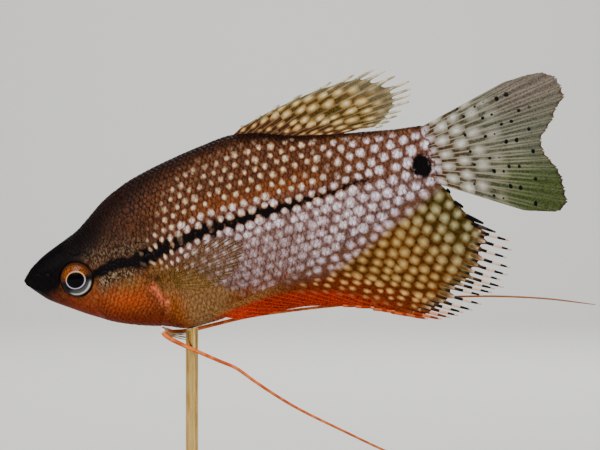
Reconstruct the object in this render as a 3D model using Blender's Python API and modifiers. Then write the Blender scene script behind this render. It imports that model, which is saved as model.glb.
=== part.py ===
"""Pearl gourami at life size, as a still museum model on a display stand.

The fish is built in its own frame and hung from one empty: X runs from the snout to the tail,
Y points to the fish's right side and Z to its back. The empty then tips the nose down and
lifts the fish over the stand. All sizes are in metres.
"""

import math

import bmesh
import bpy
import numpy as np
from mathutils import Matrix, Vector

# Where the fish hangs: the snout's place in front of the stand's centre, and the nose-down tilt
NOSE_DOWN = math.radians(16)
SNOUT_X = -0.050
SNOUT_HEIGHT = 0.0530

# Touching solids keep this gap, and points closer than the weld are one
GAP = 0.0003
WELD = 0.000001

# The body at stations from the snout: (along, back, belly, half width, level of the widest point)
BODY_STATIONS = (
    (0.0000, -0.0001, -0.0001, 0.0000, -0.0001),
    (0.0003, 0.0006, -0.0010, 0.0008, -0.0002),
    (0.0010, 0.0013, -0.0021, 0.0014, -0.0004),
    (0.0020, 0.0022, -0.0033, 0.0020, -0.0007),
    (0.0035, 0.0031, -0.0050, 0.0026, -0.0010),
    (0.0050, 0.0039, -0.0062, 0.0031, -0.0013),
    (0.0075, 0.0049, -0.0080, 0.0038, -0.0016),
    (0.0100, 0.0058, -0.0098, 0.0044, -0.0019),
    (0.0125, 0.0067, -0.0114, 0.0049, -0.0022),
    (0.0150, 0.0082, -0.0129, 0.0053, -0.0024),
    (0.0200, 0.0114, -0.0151, 0.0059, -0.0026),
    (0.0250, 0.0134, -0.0167, 0.0063, -0.0026),
    (0.0300, 0.0146, -0.0184, 0.0064, -0.0022),
    (0.0345, 0.0154, -0.0184, 0.0063, -0.0015),
    (0.0410, 0.0163, -0.0176, 0.0059, -0.0008),
    (0.0470, 0.0168, -0.0167, 0.0054, -0.0002),
    (0.0520, 0.0160, -0.0156, 0.0048, 0.0002),
    (0.0600, 0.0132, -0.0134, 0.0040, 0.0006),
    (0.0680, 0.0112, -0.0109, 0.0032, 0.0008),
    (0.0750, 0.0098, -0.0081, 0.0025, 0.0010),
    (0.0800, 0.0088, -0.0059, 0.0020, 0.0013),
    (0.0850, 0.0081, -0.0042, 0.0012, 0.0019),
)
SIDE_POWER = 1.10  # above 1, the back and belly draw in to a narrow ridge
HEIGHT_POWER = 0.92  # below 1, the flanks are flatter than an oval's
AROUND = 40  # points around a body section
SNOUT_RING = 0.00022  # the first ring's distance behind the snout's tip
HEAD_RINGS = 20
TRUNK_RINGS = 27
STALK_RINGS = 5

# The body's cuts, and the gill cover, whose rear edge bows back and stands off the trunk
GILL_CUT = 0.0227
GILL_BOW = 0.0037
GILL_BOW_LEVEL = -0.0080
GILL_BOW_SPREAD = 0.0080
GILL_WARP_REACH = 0.0060
GILL_LIFT = 0.00040
GILL_LIFT_LENGTH = 0.0050
TAIL_CUT = 0.0775
TAIL_END = 0.0850

# Eye: a lens-shaped ball set into the flank of the head
EYE_PLACE = (0.01065, -0.0026)
EYE_RADIUS = 0.00375
EYE_HALF_DEPTH = 0.0023
EYE_SUNK = 0.0011
EYE_RIM_RADIUS = 0.0039
EYE_RIM_WIRE = 0.00040
EYE_SEGMENTS = 20

# Mouth: an oblique line across the snout between two lips
MOUTH_LEVEL = -0.00035
MOUTH_HALF_WIDTH = 0.00195
MOUTH_DROP = 0.0022
MOUTH_GROOVE = 0.00024
LIP_RADIUS = 0.00048
LIP_OFFSET = 0.00050
LIP_SUNK = 0.00018

# Nostrils, two on each side: (along, height, radius)
NOSTRILS = ((0.0036, 0.0005, 0.00030), (0.0055, 0.0001, 0.00034))
NOSTRIL_DEPTH = 0.0006

# Fins: every ray is a ridge on a membrane, and runs on past the membrane's edge as a free tip
MEMBRANE_HALF = 0.00025
RIDGE_HALF = 0.00042
RAY_HALF_WIDTH = 0.00022
FIN_ROWS = 5
TIP_RINGS = 2
LENGTH_SPREAD = 0.03  # how much neighbouring rays differ in length
RAY_SEED = 7

# Dorsal fin: the back it grows from, and the tips of its rays as (share of the base, along, height)
DORSAL_START = 0.0478
DORSAL_END = 0.0675
DORSAL_RAYS = 16
DORSAL_TIPS = (
    (0.00, 0.0510, 0.0179),
    (0.08, 0.0558, 0.0191),
    (0.16, 0.0615, 0.0203),
    (0.24, 0.0690, 0.0214),
    (0.32, 0.0758, 0.0220),
    (0.40, 0.0796, 0.0213),
    (0.47, 0.0818, 0.0198),
    (0.55, 0.0844, 0.0174),
    (0.63, 0.0855, 0.0156),
    (0.72, 0.0840, 0.0143),
    (0.80, 0.0820, 0.0129),
    (0.90, 0.0795, 0.0117),
    (1.00, 0.0768, 0.0110),
)
DORSAL_REACH = ((0.0, 0.80), (0.1, 0.93), (0.3, 0.94), (0.5, 0.90), (0.7, 0.88), (1.0, 0.86))
DORSAL_BEND = math.radians(-4)

# Anal fin: the long fin under the belly, with free ray tips along its rear edge
ANAL_START = 0.0350
ANAL_END = 0.0846
ANAL_RAYS = 30
ANAL_TIPS = (
    (0.00, 0.0410, -0.0196),
    (0.10, 0.0520, -0.0204),
    (0.20, 0.0620, -0.0229),
    (0.30, 0.0705, -0.0266),
    (0.38, 0.0760, -0.0297),
    (0.45, 0.0800, -0.0301),
    (0.52, 0.0840, -0.0304),
    (0.60, 0.0883, -0.0284),
    (0.70, 0.0917, -0.0270),
    (0.80, 0.0942, -0.0230),
    (0.87, 0.0952, -0.0190),
    (0.92, 0.0929, -0.0160),
    (0.96, 0.0893, -0.0113),
    (1.00, 0.0868, -0.0066),
)
ANAL_REACH = (
    (0.00, 0.80),
    (0.10, 0.93),
    (0.38, 0.90),
    (0.45, 0.81),
    (0.52, 0.72),
    (0.60, 0.70),
    (0.70, 0.70),
    (0.80, 0.74),
    (0.87, 0.74),
    (0.92, 0.80),
    (0.96, 0.87),
    (1.00, 0.88),
)
ANAL_BEND = math.radians(9)

# Tail fin: roots on the stalk's end face, tips as (share from top to bottom, along, height)
TAIL_ROOT_TOP = 0.0078
TAIL_ROOT_BOTTOM = -0.0040
TAIL_RAYS = 18
TAIL_TIPS = (
    (0.00, 0.1035, 0.0119),
    (0.10, 0.1105, 0.0120),
    (0.19, 0.1142, 0.0094),
    (0.27, 0.1151, 0.0067),
    (0.36, 0.1126, 0.0037),
    (0.44, 0.1102, 0.0012),
    (0.51, 0.1081, -0.0009),
    (0.58, 0.1076, -0.0034),
    (0.66, 0.1086, -0.0060),
    (0.74, 0.1096, -0.0091),
    (0.83, 0.1098, -0.0127),
    (0.91, 0.1086, -0.0155),
    (0.96, 0.1057, -0.0166),
    (1.00, 0.1005, -0.0143),
)
TAIL_REACH = ((0.0, 0.97), (0.5, 0.965), (1.0, 0.97))
TAIL_ROOT_SWELL = 3.4

# Pectoral fins: a small fan on each flank behind the gill cover
PECTORAL_ROOT_TOP = (0.0270, -0.0062)
PECTORAL_ROOT_BOTTOM = (0.0274, -0.0092)
PECTORAL_RAYS = 10
PECTORAL_TIPS = (
    (0.00, 0.0375, -0.0018),
    (0.15, 0.0415, -0.0025),
    (0.35, 0.0447, -0.0046),
    (0.60, 0.0432, -0.0083),
    (0.80, 0.0392, -0.0108),
    (1.00, 0.0335, -0.0116),
)
PECTORAL_REACH = ((0.0, 0.97), (1.0, 0.97))
PECTORAL_STANDOFF = 0.0017
PECTORAL_SPREAD = math.radians(9)

# Feelers, the thread-like belly fins: routes as (along, sideways, height) from the breast.
# The left one hangs and has a kink, and the right one trails behind the anal fin.
FEELER_LEFT = (
    (0.02385, -0.0013, -0.01690),
    (0.0247, -0.0023, -0.01850),
    (0.0272, -0.0030, -0.0209),
    (0.0300, -0.0034, -0.0232),
    (0.0332, -0.0038, -0.0258),
    (0.0362, -0.0041, -0.0282),
    (0.0387, -0.0044, -0.0313),
    (0.0414, -0.0047, -0.0345),
    (0.0455, -0.0050, -0.0389),
    (0.0530, -0.0054, -0.0457),
    (0.0607, -0.0058, -0.0524),
    (0.0700, -0.0062, -0.0597),
    (0.0797, -0.0065, -0.0665),
    (0.0887, -0.0067, -0.0718),
)
FEELER_RIGHT = (
    (0.02385, 0.0013, -0.01690),
    (0.0257, 0.0027, -0.0181),
    (0.0300, 0.0034, -0.0190),
    (0.0394, 0.0032, -0.0195),
    (0.0514, 0.0028, -0.0211),
    (0.0637, 0.0026, -0.0230),
    (0.0771, 0.0026, -0.0257),
    (0.0887, 0.0028, -0.0287),
    (0.0995, 0.0031, -0.0323),
    (0.1090, 0.0033, -0.0363),
)
FEELER_RADII = ((0.0, 0.00058), (0.03, 0.00048), (0.12, 0.00040), (0.5, 0.00030), (0.92, 0.00025), (1.0, 0.00012))
FEELER_POINTS = 16  # in each of a feeler's lengths
FEELER_SIDES = 6
FEELER_LENGTHS = ("root", "middle", "tip")
FEELER_CUTS = (0.0, 0.34, 0.67, 1.0)

# Stand: an oval wooden base, and a brass rod under the belly with a collar at its foot
BASE_LENGTH = 0.092
BASE_WIDTH = 0.048
BASE_THICKNESS = 0.0055
BASE_EDGE = 0.0012
BASE_SIDES = 48
ROD_X = -0.0164
ROD_RADIUS = 0.00125
ROD_SIDES = 20
COLLAR_RADIUS = 0.0036
COLLAR_HEIGHT = 0.0016
COLLAR_STEPS = 28

SKIN_BROWN = (0.30, 0.19, 0.12)
SKIN_LILAC = (0.50, 0.43, 0.46)
FIN_OLIVE = (0.46, 0.40, 0.24)
FEELER_ORANGE = (0.72, 0.27, 0.08)
EYE_BLACK = (0.03, 0.03, 0.04)
WALNUT = (0.13, 0.07, 0.04)
BRASS = (0.72, 0.55, 0.28)


def clear_scene():
    """Empties the scene, whatever it was opened with."""
    for obj in list(bpy.data.objects):
        bpy.data.objects.remove(obj)


def material(name, colour, roughness, metallic=0.0):
    made = bpy.data.materials.new(name)
    made.use_nodes = True
    shader = made.node_tree.nodes["Principled BSDF"]
    shader.inputs["Base Color"].default_value = (*colour, 1.0)
    shader.inputs["Roughness"].default_value = roughness
    shader.inputs["Metallic"].default_value = metallic
    return made


def add_object(name, data, look, collection, parent=None):
    """One named object for one sub-part, in the gourami's collection."""
    obj = bpy.data.objects.new(name, data)
    collection.objects.link(obj)
    obj.parent = parent
    data.materials.append(look)
    return obj


def mesh_of(name, points, faces):
    """A mesh from points and faces, with its faces turned outwards."""
    mesh = bpy.data.meshes.new(name)
    mesh.from_pydata([tuple(map(float, p)) for p in points], [], [tuple(map(int, f)) for f in faces])
    shape = bmesh.new()
    shape.from_mesh(mesh)
    bmesh.ops.recalc_face_normals(shape, faces=shape.faces)
    shape.to_mesh(mesh)
    shape.free()
    mesh.shade_smooth()
    mesh.set_sharp_from_angle(angle=math.radians(40))
    return mesh


def smooth_values(knots, values, x):
    """A smooth curve through the knots that doesn't overshoot between them, read at x."""
    knots, values = np.asarray(knots, float), np.asarray(values, float)
    x = np.asarray(x, float)
    step = np.diff(knots)
    slope = np.diff(values) / step
    same = slope[1:] * slope[:-1] > 0
    both = np.where(same, slope[1:] + slope[:-1], 1.0)
    inner = np.where(same, 2 * slope[1:] * slope[:-1] / both, 0.0)
    tangent = np.concatenate([slope[:1], inner, slope[-1:]])
    i = np.clip(np.searchsorted(knots, x, side="right") - 1, 0, len(step) - 1)
    u = np.clip((x - knots[i]) / step[i], 0, 1)
    start = values[i] * (1 + 2 * u) * (1 - u) ** 2 + tangent[i] * step[i] * u * (1 - u) ** 2
    end = values[i + 1] * u**2 * (3 - 2 * u) - tangent[i + 1] * step[i] * u**2 * (1 - u)
    return start + end


def body_section(along):
    """Back, belly, half width and widest level at a distance from the snout. The root rounds the snout."""
    table = np.array(BODY_STATIONS)
    knots = np.sqrt(table[:, 0])
    x = np.sqrt(np.clip(along, 0, None))
    return [smooth_values(knots, table[:, k], x) for k in range(1, 5)]


def gill_bow(height):
    """How far back the gill cover's edge lies at this height, past where the cut starts."""
    return GILL_BOW * np.exp(-(((height - GILL_BOW_LEVEL) / GILL_BOW_SPREAD) ** 2))


def gill_lift(station, height):
    """The gill cover stands off the flank along its rear edge, but not over the nape or throat."""
    near = np.clip((station - (GILL_CUT - GILL_LIFT_LENGTH)) / GILL_LIFT_LENGTH, 0, 1)
    window = np.clip((0.0035 - height) / 0.004, 0, 1) * np.clip((height + 0.0155) / 0.003, 0, 1)
    return GILL_LIFT * near**2 * window


def body_ring(station, covered):
    """The points of one section. Near the gill opening the ring bows back along the cover's edge."""
    turn = np.linspace(0, 2 * math.pi, AROUND, endpoint=False)
    back, belly, half, level = body_section(station)
    up, out = np.cos(turn), np.sin(turn)
    reach = np.where(up > 0, back - level, level - belly)
    height = level + reach * np.sign(up) * np.abs(up) ** HEIGHT_POWER
    fade = math.exp(-(((station - GILL_CUT) / GILL_WARP_REACH) ** 2))
    along = station + gill_bow(height) * fade
    back, belly, half, level = body_section(along)
    reach = np.where(up > 0, back - level, level - belly)
    height = level + reach * np.sign(up) * np.abs(up) ** HEIGHT_POWER
    side = half * np.sign(out) * np.abs(out) ** SIDE_POWER
    if covered:
        side = side + np.sign(out) * np.abs(out) * gill_lift(station, height)
    return np.stack([along, side, height], axis=1)


def flank_point(along, height, side):
    """The point of the body's skin at this distance and height, on the left (-1) or right (1)."""
    back, belly, half, level = body_section(along)
    reach = back - level if height > level else level - belly
    share = min(abs(height - level) / reach, 1.0) ** (1 / HEIGHT_POWER)
    return np.array([along, side * half * math.sqrt(1 - share**2) ** SIDE_POWER, height])


def flank_normal(along, height, side):
    """The outward direction of the skin there, from two short steps on it."""
    step = 0.0002
    ahead = flank_point(along + step, height, side) - flank_point(along - step, height, side)
    above = flank_point(along, height + step, side) - flank_point(along, height - step, side)
    normal = np.cross(ahead, above)
    normal = normal / np.linalg.norm(normal)
    return normal if normal[1] * side > 0 else -normal


def inside_body(point):
    """Whether a point of the fish's own frame is inside the body."""
    along, side, height = point
    if not 0 < along < TAIL_END:
        return False
    back, belly, _, _ = body_section(along)
    if not belly < height < back:
        return False
    return abs(side) < abs(flank_point(along, height, 1)[1])


def snout_point(side, height):
    """The point where a line along the fish first meets the snout."""
    near, far = 0.0, 0.02
    for _ in range(40):
        middle = (near + far) / 2
        near, far = (near, middle) if inside_body((middle, side, height)) else (middle, far)
    return np.array([far, side, height])


def lofted(name, rings, start, end):
    """A closed skin over a row of rings, with a fan of faces at each end."""
    count = len(rings[0])
    points = [start, *np.concatenate(rings), end]
    last = len(points) - 1
    faces = []
    for k in range(count):
        beside = (k + 1) % count
        faces.append((0, 1 + k, 1 + beside))
        for ring in range(len(rings) - 1):
            low = 1 + ring * count
            high = low + count
            faces.append((low + k, high + k, high + beside))
            faces.append((low + k, high + beside, low + beside))
        foot = 1 + (len(rings) - 1) * count
        faces.append((last, foot + beside, foot + k))
    return mesh_of(name, points, faces)


def body_length(name, stations, covered=False):
    """One length of the body. Its ends are fans round the middle of the first and last ring."""
    rings = [body_ring(station, covered) for station in stations]
    ends = [ring.mean(axis=0) for ring in (rings[0], rings[-1])]
    return lofted(name, rings, *ends)


def tube(name, path, radii, sides, closed=False):
    """A round tube along a path, of one radius or of one for each of the path's points."""
    curve = bpy.data.curves.new(name, "CURVE")
    curve.dimensions = "3D"
    curve.bevel_depth = 1.0
    curve.bevel_resolution = sides // 2 - 2
    curve.use_fill_caps = not closed
    spline = curve.splines.new("POLY")
    spline.points.add(len(path) - 1)
    spline.use_cyclic_u = closed
    for point, place, radius in zip(spline.points, path, np.broadcast_to(radii, len(path))):
        point.co = (*map(float, place), 1.0)
        point.radius = float(radius)
    return curve


def solid_of(curve):
    """A tube as a closed mesh, with its caps joined on, for a Boolean."""
    holder = bpy.data.objects.new(curve.name, curve)
    bpy.context.scene.collection.objects.link(holder)
    graph = bpy.context.evaluated_depsgraph_get()
    mesh = bpy.data.meshes.new_from_object(holder.evaluated_get(graph))
    bpy.data.objects.remove(holder)
    shape = bmesh.new()
    shape.from_mesh(mesh)
    bmesh.ops.remove_doubles(shape, verts=shape.verts, dist=WELD)
    bmesh.ops.recalc_face_normals(shape, faces=shape.faces)
    shape.to_mesh(mesh)
    shape.free()
    return mesh


def keep_largest(mesh):
    """Drops every closed surface but the one that holds the most."""
    shape = bmesh.new()
    shape.from_mesh(mesh)
    bmesh.ops.triangulate(shape, faces=shape.faces)
    waiting = set(shape.faces)
    bodies = []
    while waiting:
        reached = [waiting.pop()]
        for face in reached:
            beside = {other for edge in face.edges for other in edge.link_faces} & waiting
            reached.extend(beside)
            waiting -= beside
        corners = [[vertex.co for vertex in face.verts] for face in reached]
        volume = sum(a.dot(b.cross(c)) for a, b, c in corners) / 6
        bodies.append((abs(volume), len(bodies), reached))
    for _, _, scrap in sorted(bodies)[:-1]:
        bmesh.ops.delete(shape, geom=scrap, context="FACES")
    shape.to_mesh(mesh)
    shape.free()


def boolean(obj, operation, pieces):
    """Joins pieces to an object, or cuts them from it, and removes them again."""
    group = bpy.data.collections.new(obj.name + "_" + operation.lower())
    bpy.context.scene.collection.children.link(group)
    for mesh in pieces:
        helper = bpy.data.objects.new(mesh.name, mesh)
        helper.parent = obj.parent
        helper.hide_render = True
        helper.display_type = "WIRE"
        group.objects.link(helper)
    modifier = obj.modifiers.new(operation.lower(), "BOOLEAN")
    modifier.operation = operation
    modifier.operand_type = "COLLECTION"
    modifier.collection = group
    modifier.solver = "EXACT"
    bpy.context.view_layer.update()
    graph = bpy.context.evaluated_depsgraph_get()
    result = bpy.data.meshes.new_from_object(obj.evaluated_get(graph))
    keep_largest(result)
    obj.modifiers.clear()
    look = obj.data.materials[0]
    obj.data = result
    obj.data.materials.clear()
    obj.data.materials.append(look)
    for helper in list(group.objects):
        bpy.data.objects.remove(helper)
    bpy.data.collections.remove(group)


def eye_matrix(side):
    """Where an eye sits: its own Z axis points out of the flank."""
    along, height = EYE_PLACE
    normal = Vector(flank_normal(along, height, side))
    centre = Vector(flank_point(along, height, side)) - normal * EYE_SUNK
    turn = normal.to_track_quat("Z", "Y").to_matrix().to_4x4()
    return Matrix.Translation(centre) @ turn


def eye_mesh(name, side, spare=0.0):
    """A flattened ball. A cutter for the socket is the same ball with some room to spare."""
    shape = bmesh.new()
    size = Matrix.Diagonal((EYE_RADIUS + spare, EYE_RADIUS + spare, EYE_HALF_DEPTH + spare, 1))
    place = eye_matrix(side) @ size
    bmesh.ops.create_uvsphere(
        shape, u_segments=EYE_SEGMENTS, v_segments=EYE_SEGMENTS // 2, radius=1.0, matrix=place
    )
    mesh = bpy.data.meshes.new(name)
    shape.to_mesh(mesh)
    shape.free()
    mesh.shade_smooth()
    return mesh


def eye_rim(side):
    """The raised skin round an eye, which lies on the flank."""
    along, height = EYE_PLACE
    turns = np.linspace(0, 2 * math.pi, 24, endpoint=False)
    path = [
        flank_point(along + EYE_RIM_RADIUS * math.cos(a), height + EYE_RIM_RADIUS * math.sin(a), side)
        for a in turns
    ]
    return solid_of(tube("eye_rim", path, EYE_RIM_WIRE, 6, closed=True))


def mouth_path(offset):
    """The mouth's line over the snout from corner to corner, moved up or down by an offset."""
    sides = np.linspace(-MOUTH_HALF_WIDTH, MOUTH_HALF_WIDTH, 13)
    heights = MOUTH_LEVEL - MOUTH_DROP * np.abs(sides / MOUTH_HALF_WIDTH) ** 1.5 + offset
    return np.array([snout_point(y, z) for y, z in zip(sides, heights)])


def lip_path(offset):
    path = mouth_path(offset)
    path[:, 0] += LIP_SUNK
    return path


def nostril_cutter(along, height, radius, side):
    """A short peg that sinks a nostril into the snout."""
    normal = flank_normal(along, height, side)
    skin = flank_point(along, height, side)
    path = [skin + normal * d for d in (0.0006, 0.0, -NOSTRIL_DEPTH)]
    return solid_of(tube("nostril", path, radius, 8))


def make_head(look, collection, fish):
    rings = np.linspace(math.sqrt(SNOUT_RING), math.sqrt(GILL_CUT), HEAD_RINGS) ** 2
    head = add_object("head", body_length("head", rings, covered=True), look, collection, fish)
    head.data = snouted(head.data)
    lips = [solid_of(tube("lip", lip_path(offset), LIP_RADIUS, 8)) for offset in (LIP_OFFSET, -LIP_OFFSET)]
    rims = [eye_rim(side) for side in (-1, 1)]
    boolean(head, "UNION", lips + rims)
    groove = [solid_of(tube("mouth_line", mouth_path(0.0), MOUTH_GROOVE, 6))]
    sockets = [eye_mesh("socket", side, GAP) for side in (-1, 1)]
    nostrils = [nostril_cutter(*nostril, side) for nostril in NOSTRILS for side in (-1, 1)]
    boolean(head, "DIFFERENCE", groove + sockets + nostrils)
    return head


def snouted(mesh):
    """Moves the head's first point out to the very tip of the snout."""
    mesh.vertices[0].co = (0.0, 0.0, BODY_STATIONS[0][1])
    return mesh


def make_body(looks, collection, fish):
    make_head(looks["brown"], collection, fish)
    trunk = np.linspace(GILL_CUT + GAP, TAIL_CUT, TRUNK_RINGS)
    add_object("trunk", body_length("trunk", trunk), looks["lilac"], collection, fish)
    stalk = np.linspace(TAIL_CUT + GAP, TAIL_END, STALK_RINGS)
    add_object("tail_stalk", body_length("tail_stalk", stalk), looks["lilac"], collection, fish)
    for name, side in (("eye_left", -1), ("eye_right", 1)):
        add_object(name, eye_mesh(name, side), looks["eye"], collection, fish)


def along_rays(table, shares):
    """Reads a table of (share, value, ...) at each ray's share of the fin."""
    table = np.array(table)
    return np.stack([smooth_values(table[:, 0], table[:, k], shares) for k in range(1, table.shape[1])], axis=1)


def bent_rays(root, tip, bend):
    """The middle control point of each ray, turned off the straight line by the bend's angle."""
    chord = tip - root
    cosine, sine = math.cos(bend), math.sin(bend)
    turned = np.stack(
        [
            chord[:, 0] * cosine + chord[:, 2] * sine,
            chord[:, 1],
            chord[:, 2] * cosine - chord[:, 0] * sine,
        ],
        axis=1,
    )
    return root + turned * 0.5 / max(cosine, 0.5)


def unit(vectors):
    return vectors / np.linalg.norm(vectors, axis=-1, keepdims=True)


def ray_points(root, bend, tip, u):
    """Points of each ray's bow at shares u of its length: one row of points for each ray."""
    u = u[..., None]
    return root[:, None] * (1 - u) ** 2 + bend[:, None] * 2 * u * (1 - u) + tip[:, None] * u**2


def ray_directions(root, bend, tip, u):
    """The direction of each ray's bow at shares u of its length."""
    u = u[..., None]
    return unit((bend - root)[:, None] * (1 - u) + (tip - bend)[:, None] * u)


def ribbed_fin(name, root, bend, tip, reach, swell, normal=None):
    """A fin as one closed skin: a membrane with a ridge on both faces for each ray.

    Each ray has three columns of points, its two flanks and its ridge, and past the
    membrane's edge those go on as a tapering free tip of six sides.
    """
    count = len(root)
    u = np.linspace(0, 1, FIN_ROWS + 1)[None] * reach[:, None]
    middle = ray_points(root, bend, tip, u)
    across = np.gradient(middle, axis=0)
    spacing = np.linalg.norm(across, axis=-1)
    across = unit(across)
    if normal is None:
        normal = unit(np.cross(ray_directions(root, bend, tip, u), across))
    half = np.minimum(RAY_HALF_WIDTH, 0.30 * spacing)
    places = middle[:, None] + np.array([-1, 0, 1])[None, :, None, None] * (across * half[..., None])[:, None]
    swollen = 1 + swell * (1 - np.linspace(0, 1, FIN_ROWS + 1)) ** 5
    thick = np.array([MEMBRANE_HALF, RIDGE_HALF, MEMBRANE_HALF])[None, :, None] * swollen[None, None]
    offset = thick[..., None] * (normal[:, None] if np.ndim(normal) > 1 else normal)
    front, behind = places + offset, places - offset
    rows, columns = FIN_ROWS + 1, 3 * count
    points = list(front.reshape(-1, 3)) + list(behind.reshape(-1, 3))
    total = columns * rows

    def at(column, row, face):
        return face * total + column * rows + row

    faces = []
    for column in range(columns - 1):
        for row in range(FIN_ROWS):
            for face in (0, 1):
                a, b = at(column, row, face), at(column, row + 1, face)
                c, d = at(column + 1, row + 1, face), at(column + 1, row, face)
                faces += [(a, b, c), (a, c, d)]
        open_rows = [0] + ([FIN_ROWS] if column % 3 == 2 else [])
        for row in open_rows:
            a, b = at(column, row, 0), at(column + 1, row, 0)
            c, d = at(column + 1, row, 1), at(column, row, 1)
            faces += [(a, b, c), (a, c, d)]
    for column in (0, columns - 1):
        for row in range(FIN_ROWS):
            a, b = at(column, row, 0), at(column, row + 1, 0)
            c, d = at(column, row + 1, 1), at(column, row, 1)
            faces += [(a, b, c), (a, c, d)]
    for ray in range(count):
        faces += free_tip(points, at, ray, (root, bend, tip), reach[ray], (across, half, normal))
    return mesh_of(name, points, faces)


def free_tip(points, at, ray, bow, reach, frame):
    """The rings and the end point of one ray past the membrane, added to the fin's points."""
    root, bend, tip = (part[ray : ray + 1] for part in bow)
    across, half, normal = frame
    out = normal[ray, -1] if np.ndim(normal) > 1 else normal
    ring = [at(3 * ray + k, FIN_ROWS, 0) for k in (0, 1, 2)]
    ring += [at(3 * ray + k, FIN_ROWS, 1) for k in (2, 1, 0)]
    faces = []
    for step in range(1, TIP_RINGS + 1):
        share = step / (TIP_RINGS + 1)
        centre = ray_points(root, bend, tip, np.array([[reach + (1 - reach) * share]]))[0, 0]
        narrow = 1 - 0.45 * share
        width = across[ray, -1] * half[ray, -1] * narrow
        flank, ridge = out * MEMBRANE_HALF * 0.8 * narrow, out * RIDGE_HALF * narrow
        made = [-width + flank, ridge, width + flank, width - flank, -ridge, -width - flank]
        start = len(points)
        points.extend(centre + place for place in made)
        fresh = list(range(start, start + 6))
        for k in range(6):
            beside = (k + 1) % 6
            faces += [(ring[k], ring[beside], fresh[beside]), (ring[k], fresh[beside], fresh[k])]
        ring = fresh
    points.append(tip[0])
    end = len(points) - 1
    faces += [(ring[k], ring[(k + 1) % 6], end) for k in range(6)]
    return faces


def varied_tips(root, tip, draw):
    """Neighbouring rays end a little short of the fin's outline or a little past it."""
    return root + (tip - root) * (1 + LENGTH_SPREAD * draw.uniform(-1, 1, len(root)))[:, None]


def midline_fin(name, stations, edge_sign, tips, reach, bend, swell, draw):
    """A fin on the body's midline, along the back (edge_sign 1) or the belly (-1)."""
    shares = np.linspace(0, 1, len(stations))
    back, belly, _, _ = body_section(stations)
    edge = (back if edge_sign > 0 else belly) + edge_sign * GAP
    root = np.stack([stations, np.zeros_like(stations), edge], axis=1)
    ends = along_rays(tips, shares)
    tip = np.stack([ends[:, 0], np.zeros_like(stations), ends[:, 1]], axis=1)
    tip = varied_tips(root, tip, draw)
    middle = bent_rays(root, tip, bend)
    return ribbed_fin(name, root, middle, tip, along_rays(reach, shares)[:, 0], swell, np.array([0.0, 1.0, 0.0]))


def tail_fin(draw):
    """The tail fin's rays fan out from the stalk's flat end."""
    shares = np.linspace(0, 1, TAIL_RAYS)
    height = TAIL_ROOT_TOP + (TAIL_ROOT_BOTTOM - TAIL_ROOT_TOP) * shares
    level = np.zeros(TAIL_RAYS)
    root = np.stack([np.full(TAIL_RAYS, TAIL_END + GAP), level, height], axis=1)
    ends = along_rays(TAIL_TIPS, shares)
    tip = varied_tips(root, np.stack([ends[:, 0], level, ends[:, 1]], axis=1), draw)
    reach = along_rays(TAIL_REACH, shares)[:, 0]
    middle = (root + tip) / 2
    return ribbed_fin("tail_fin", root, middle, tip, reach, TAIL_ROOT_SWELL, np.array([0.0, 1.0, 0.0]))


def pectoral_fin(name, side, draw):
    """A fan that leaves the flank square to the skin, then lies back along the body."""
    shares = np.linspace(0, 1, PECTORAL_RAYS)
    top, bottom = np.array(PECTORAL_ROOT_TOP), np.array(PECTORAL_ROOT_BOTTOM)
    places = top + (bottom - top) * shares[:, None]
    skin = np.array([flank_point(*place, side) for place in places])
    normal = np.array([flank_normal(*place, side) for place in places])
    root = skin + normal * GAP
    ends = along_rays(PECTORAL_TIPS, shares)
    length = ends[:, 0] - root[:, 0]
    out = root[:, 1] + side * (PECTORAL_STANDOFF + length * math.tan(PECTORAL_SPREAD))
    tip = varied_tips(root, np.stack([ends[:, 0], out, ends[:, 1]], axis=1), draw)
    middle = root + normal * PECTORAL_STANDOFF
    reach = along_rays(PECTORAL_REACH, shares)[:, 0]
    return ribbed_fin(name, root, middle, tip, reach, 0.4)


def make_fins(looks, collection, fish):
    draw = np.random.default_rng(RAY_SEED)
    dorsal = np.linspace(DORSAL_START, DORSAL_END, DORSAL_RAYS)
    anal = np.linspace(ANAL_START, ANAL_END, ANAL_RAYS)
    meshes = (
        midline_fin("dorsal_fin", dorsal, 1, DORSAL_TIPS, DORSAL_REACH, DORSAL_BEND, 0.8, draw),
        midline_fin("anal_fin", anal, -1, ANAL_TIPS, ANAL_REACH, ANAL_BEND, 0.8, draw),
        tail_fin(draw),
        pectoral_fin("pectoral_fin_left", -1, draw),
        pectoral_fin("pectoral_fin_right", 1, draw),
    )
    for mesh in meshes:
        add_object(mesh.name, mesh, looks["fin"], collection, fish)


def route_points(route, shares):
    """Points at shares of a smooth route's length."""
    route = np.array(route)
    knots = np.concatenate([[0], np.cumsum(np.linalg.norm(np.diff(route, axis=0), axis=1))])
    fine = np.linspace(0, knots[-1], 400)
    line = np.stack([smooth_values(knots, route[:, k], fine) for k in range(3)], axis=1)
    length = np.concatenate([[0], np.cumsum(np.linalg.norm(np.diff(line, axis=0), axis=1))])
    return np.stack([np.interp(shares * length[-1], length, line[:, k]) for k in range(3)], axis=1), length[-1]


def make_feeler(side_name, route, look, collection, fish):
    """A feeler in three lengths, each a tapering tube, with the usual gap between them."""
    _, length = route_points(route, np.array([0.0, 1.0]))
    for k, part in enumerate(FEELER_LENGTHS):
        start = FEELER_CUTS[k] + (GAP / length if k else 0)
        shares = np.linspace(start, FEELER_CUTS[k + 1], FEELER_POINTS)
        points, _ = route_points(route, shares)
        radii = along_rays(FEELER_RADII, shares)[:, 0]
        curve = tube(f"feeler_{side_name}_{part}", points, radii, FEELER_SIDES)
        add_object(curve.name, curve, look, collection, fish)


def fish_point(x, y, z):
    """A point of the stand's frame, given in the fish's own frame."""
    dx, dz = x - SNOUT_X, z - SNOUT_HEIGHT
    cosine, sine = math.cos(NOSE_DOWN), math.sin(NOSE_DOWN)
    return (dx * cosine + dz * sine, y, dz * cosine - dx * sine)


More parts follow.
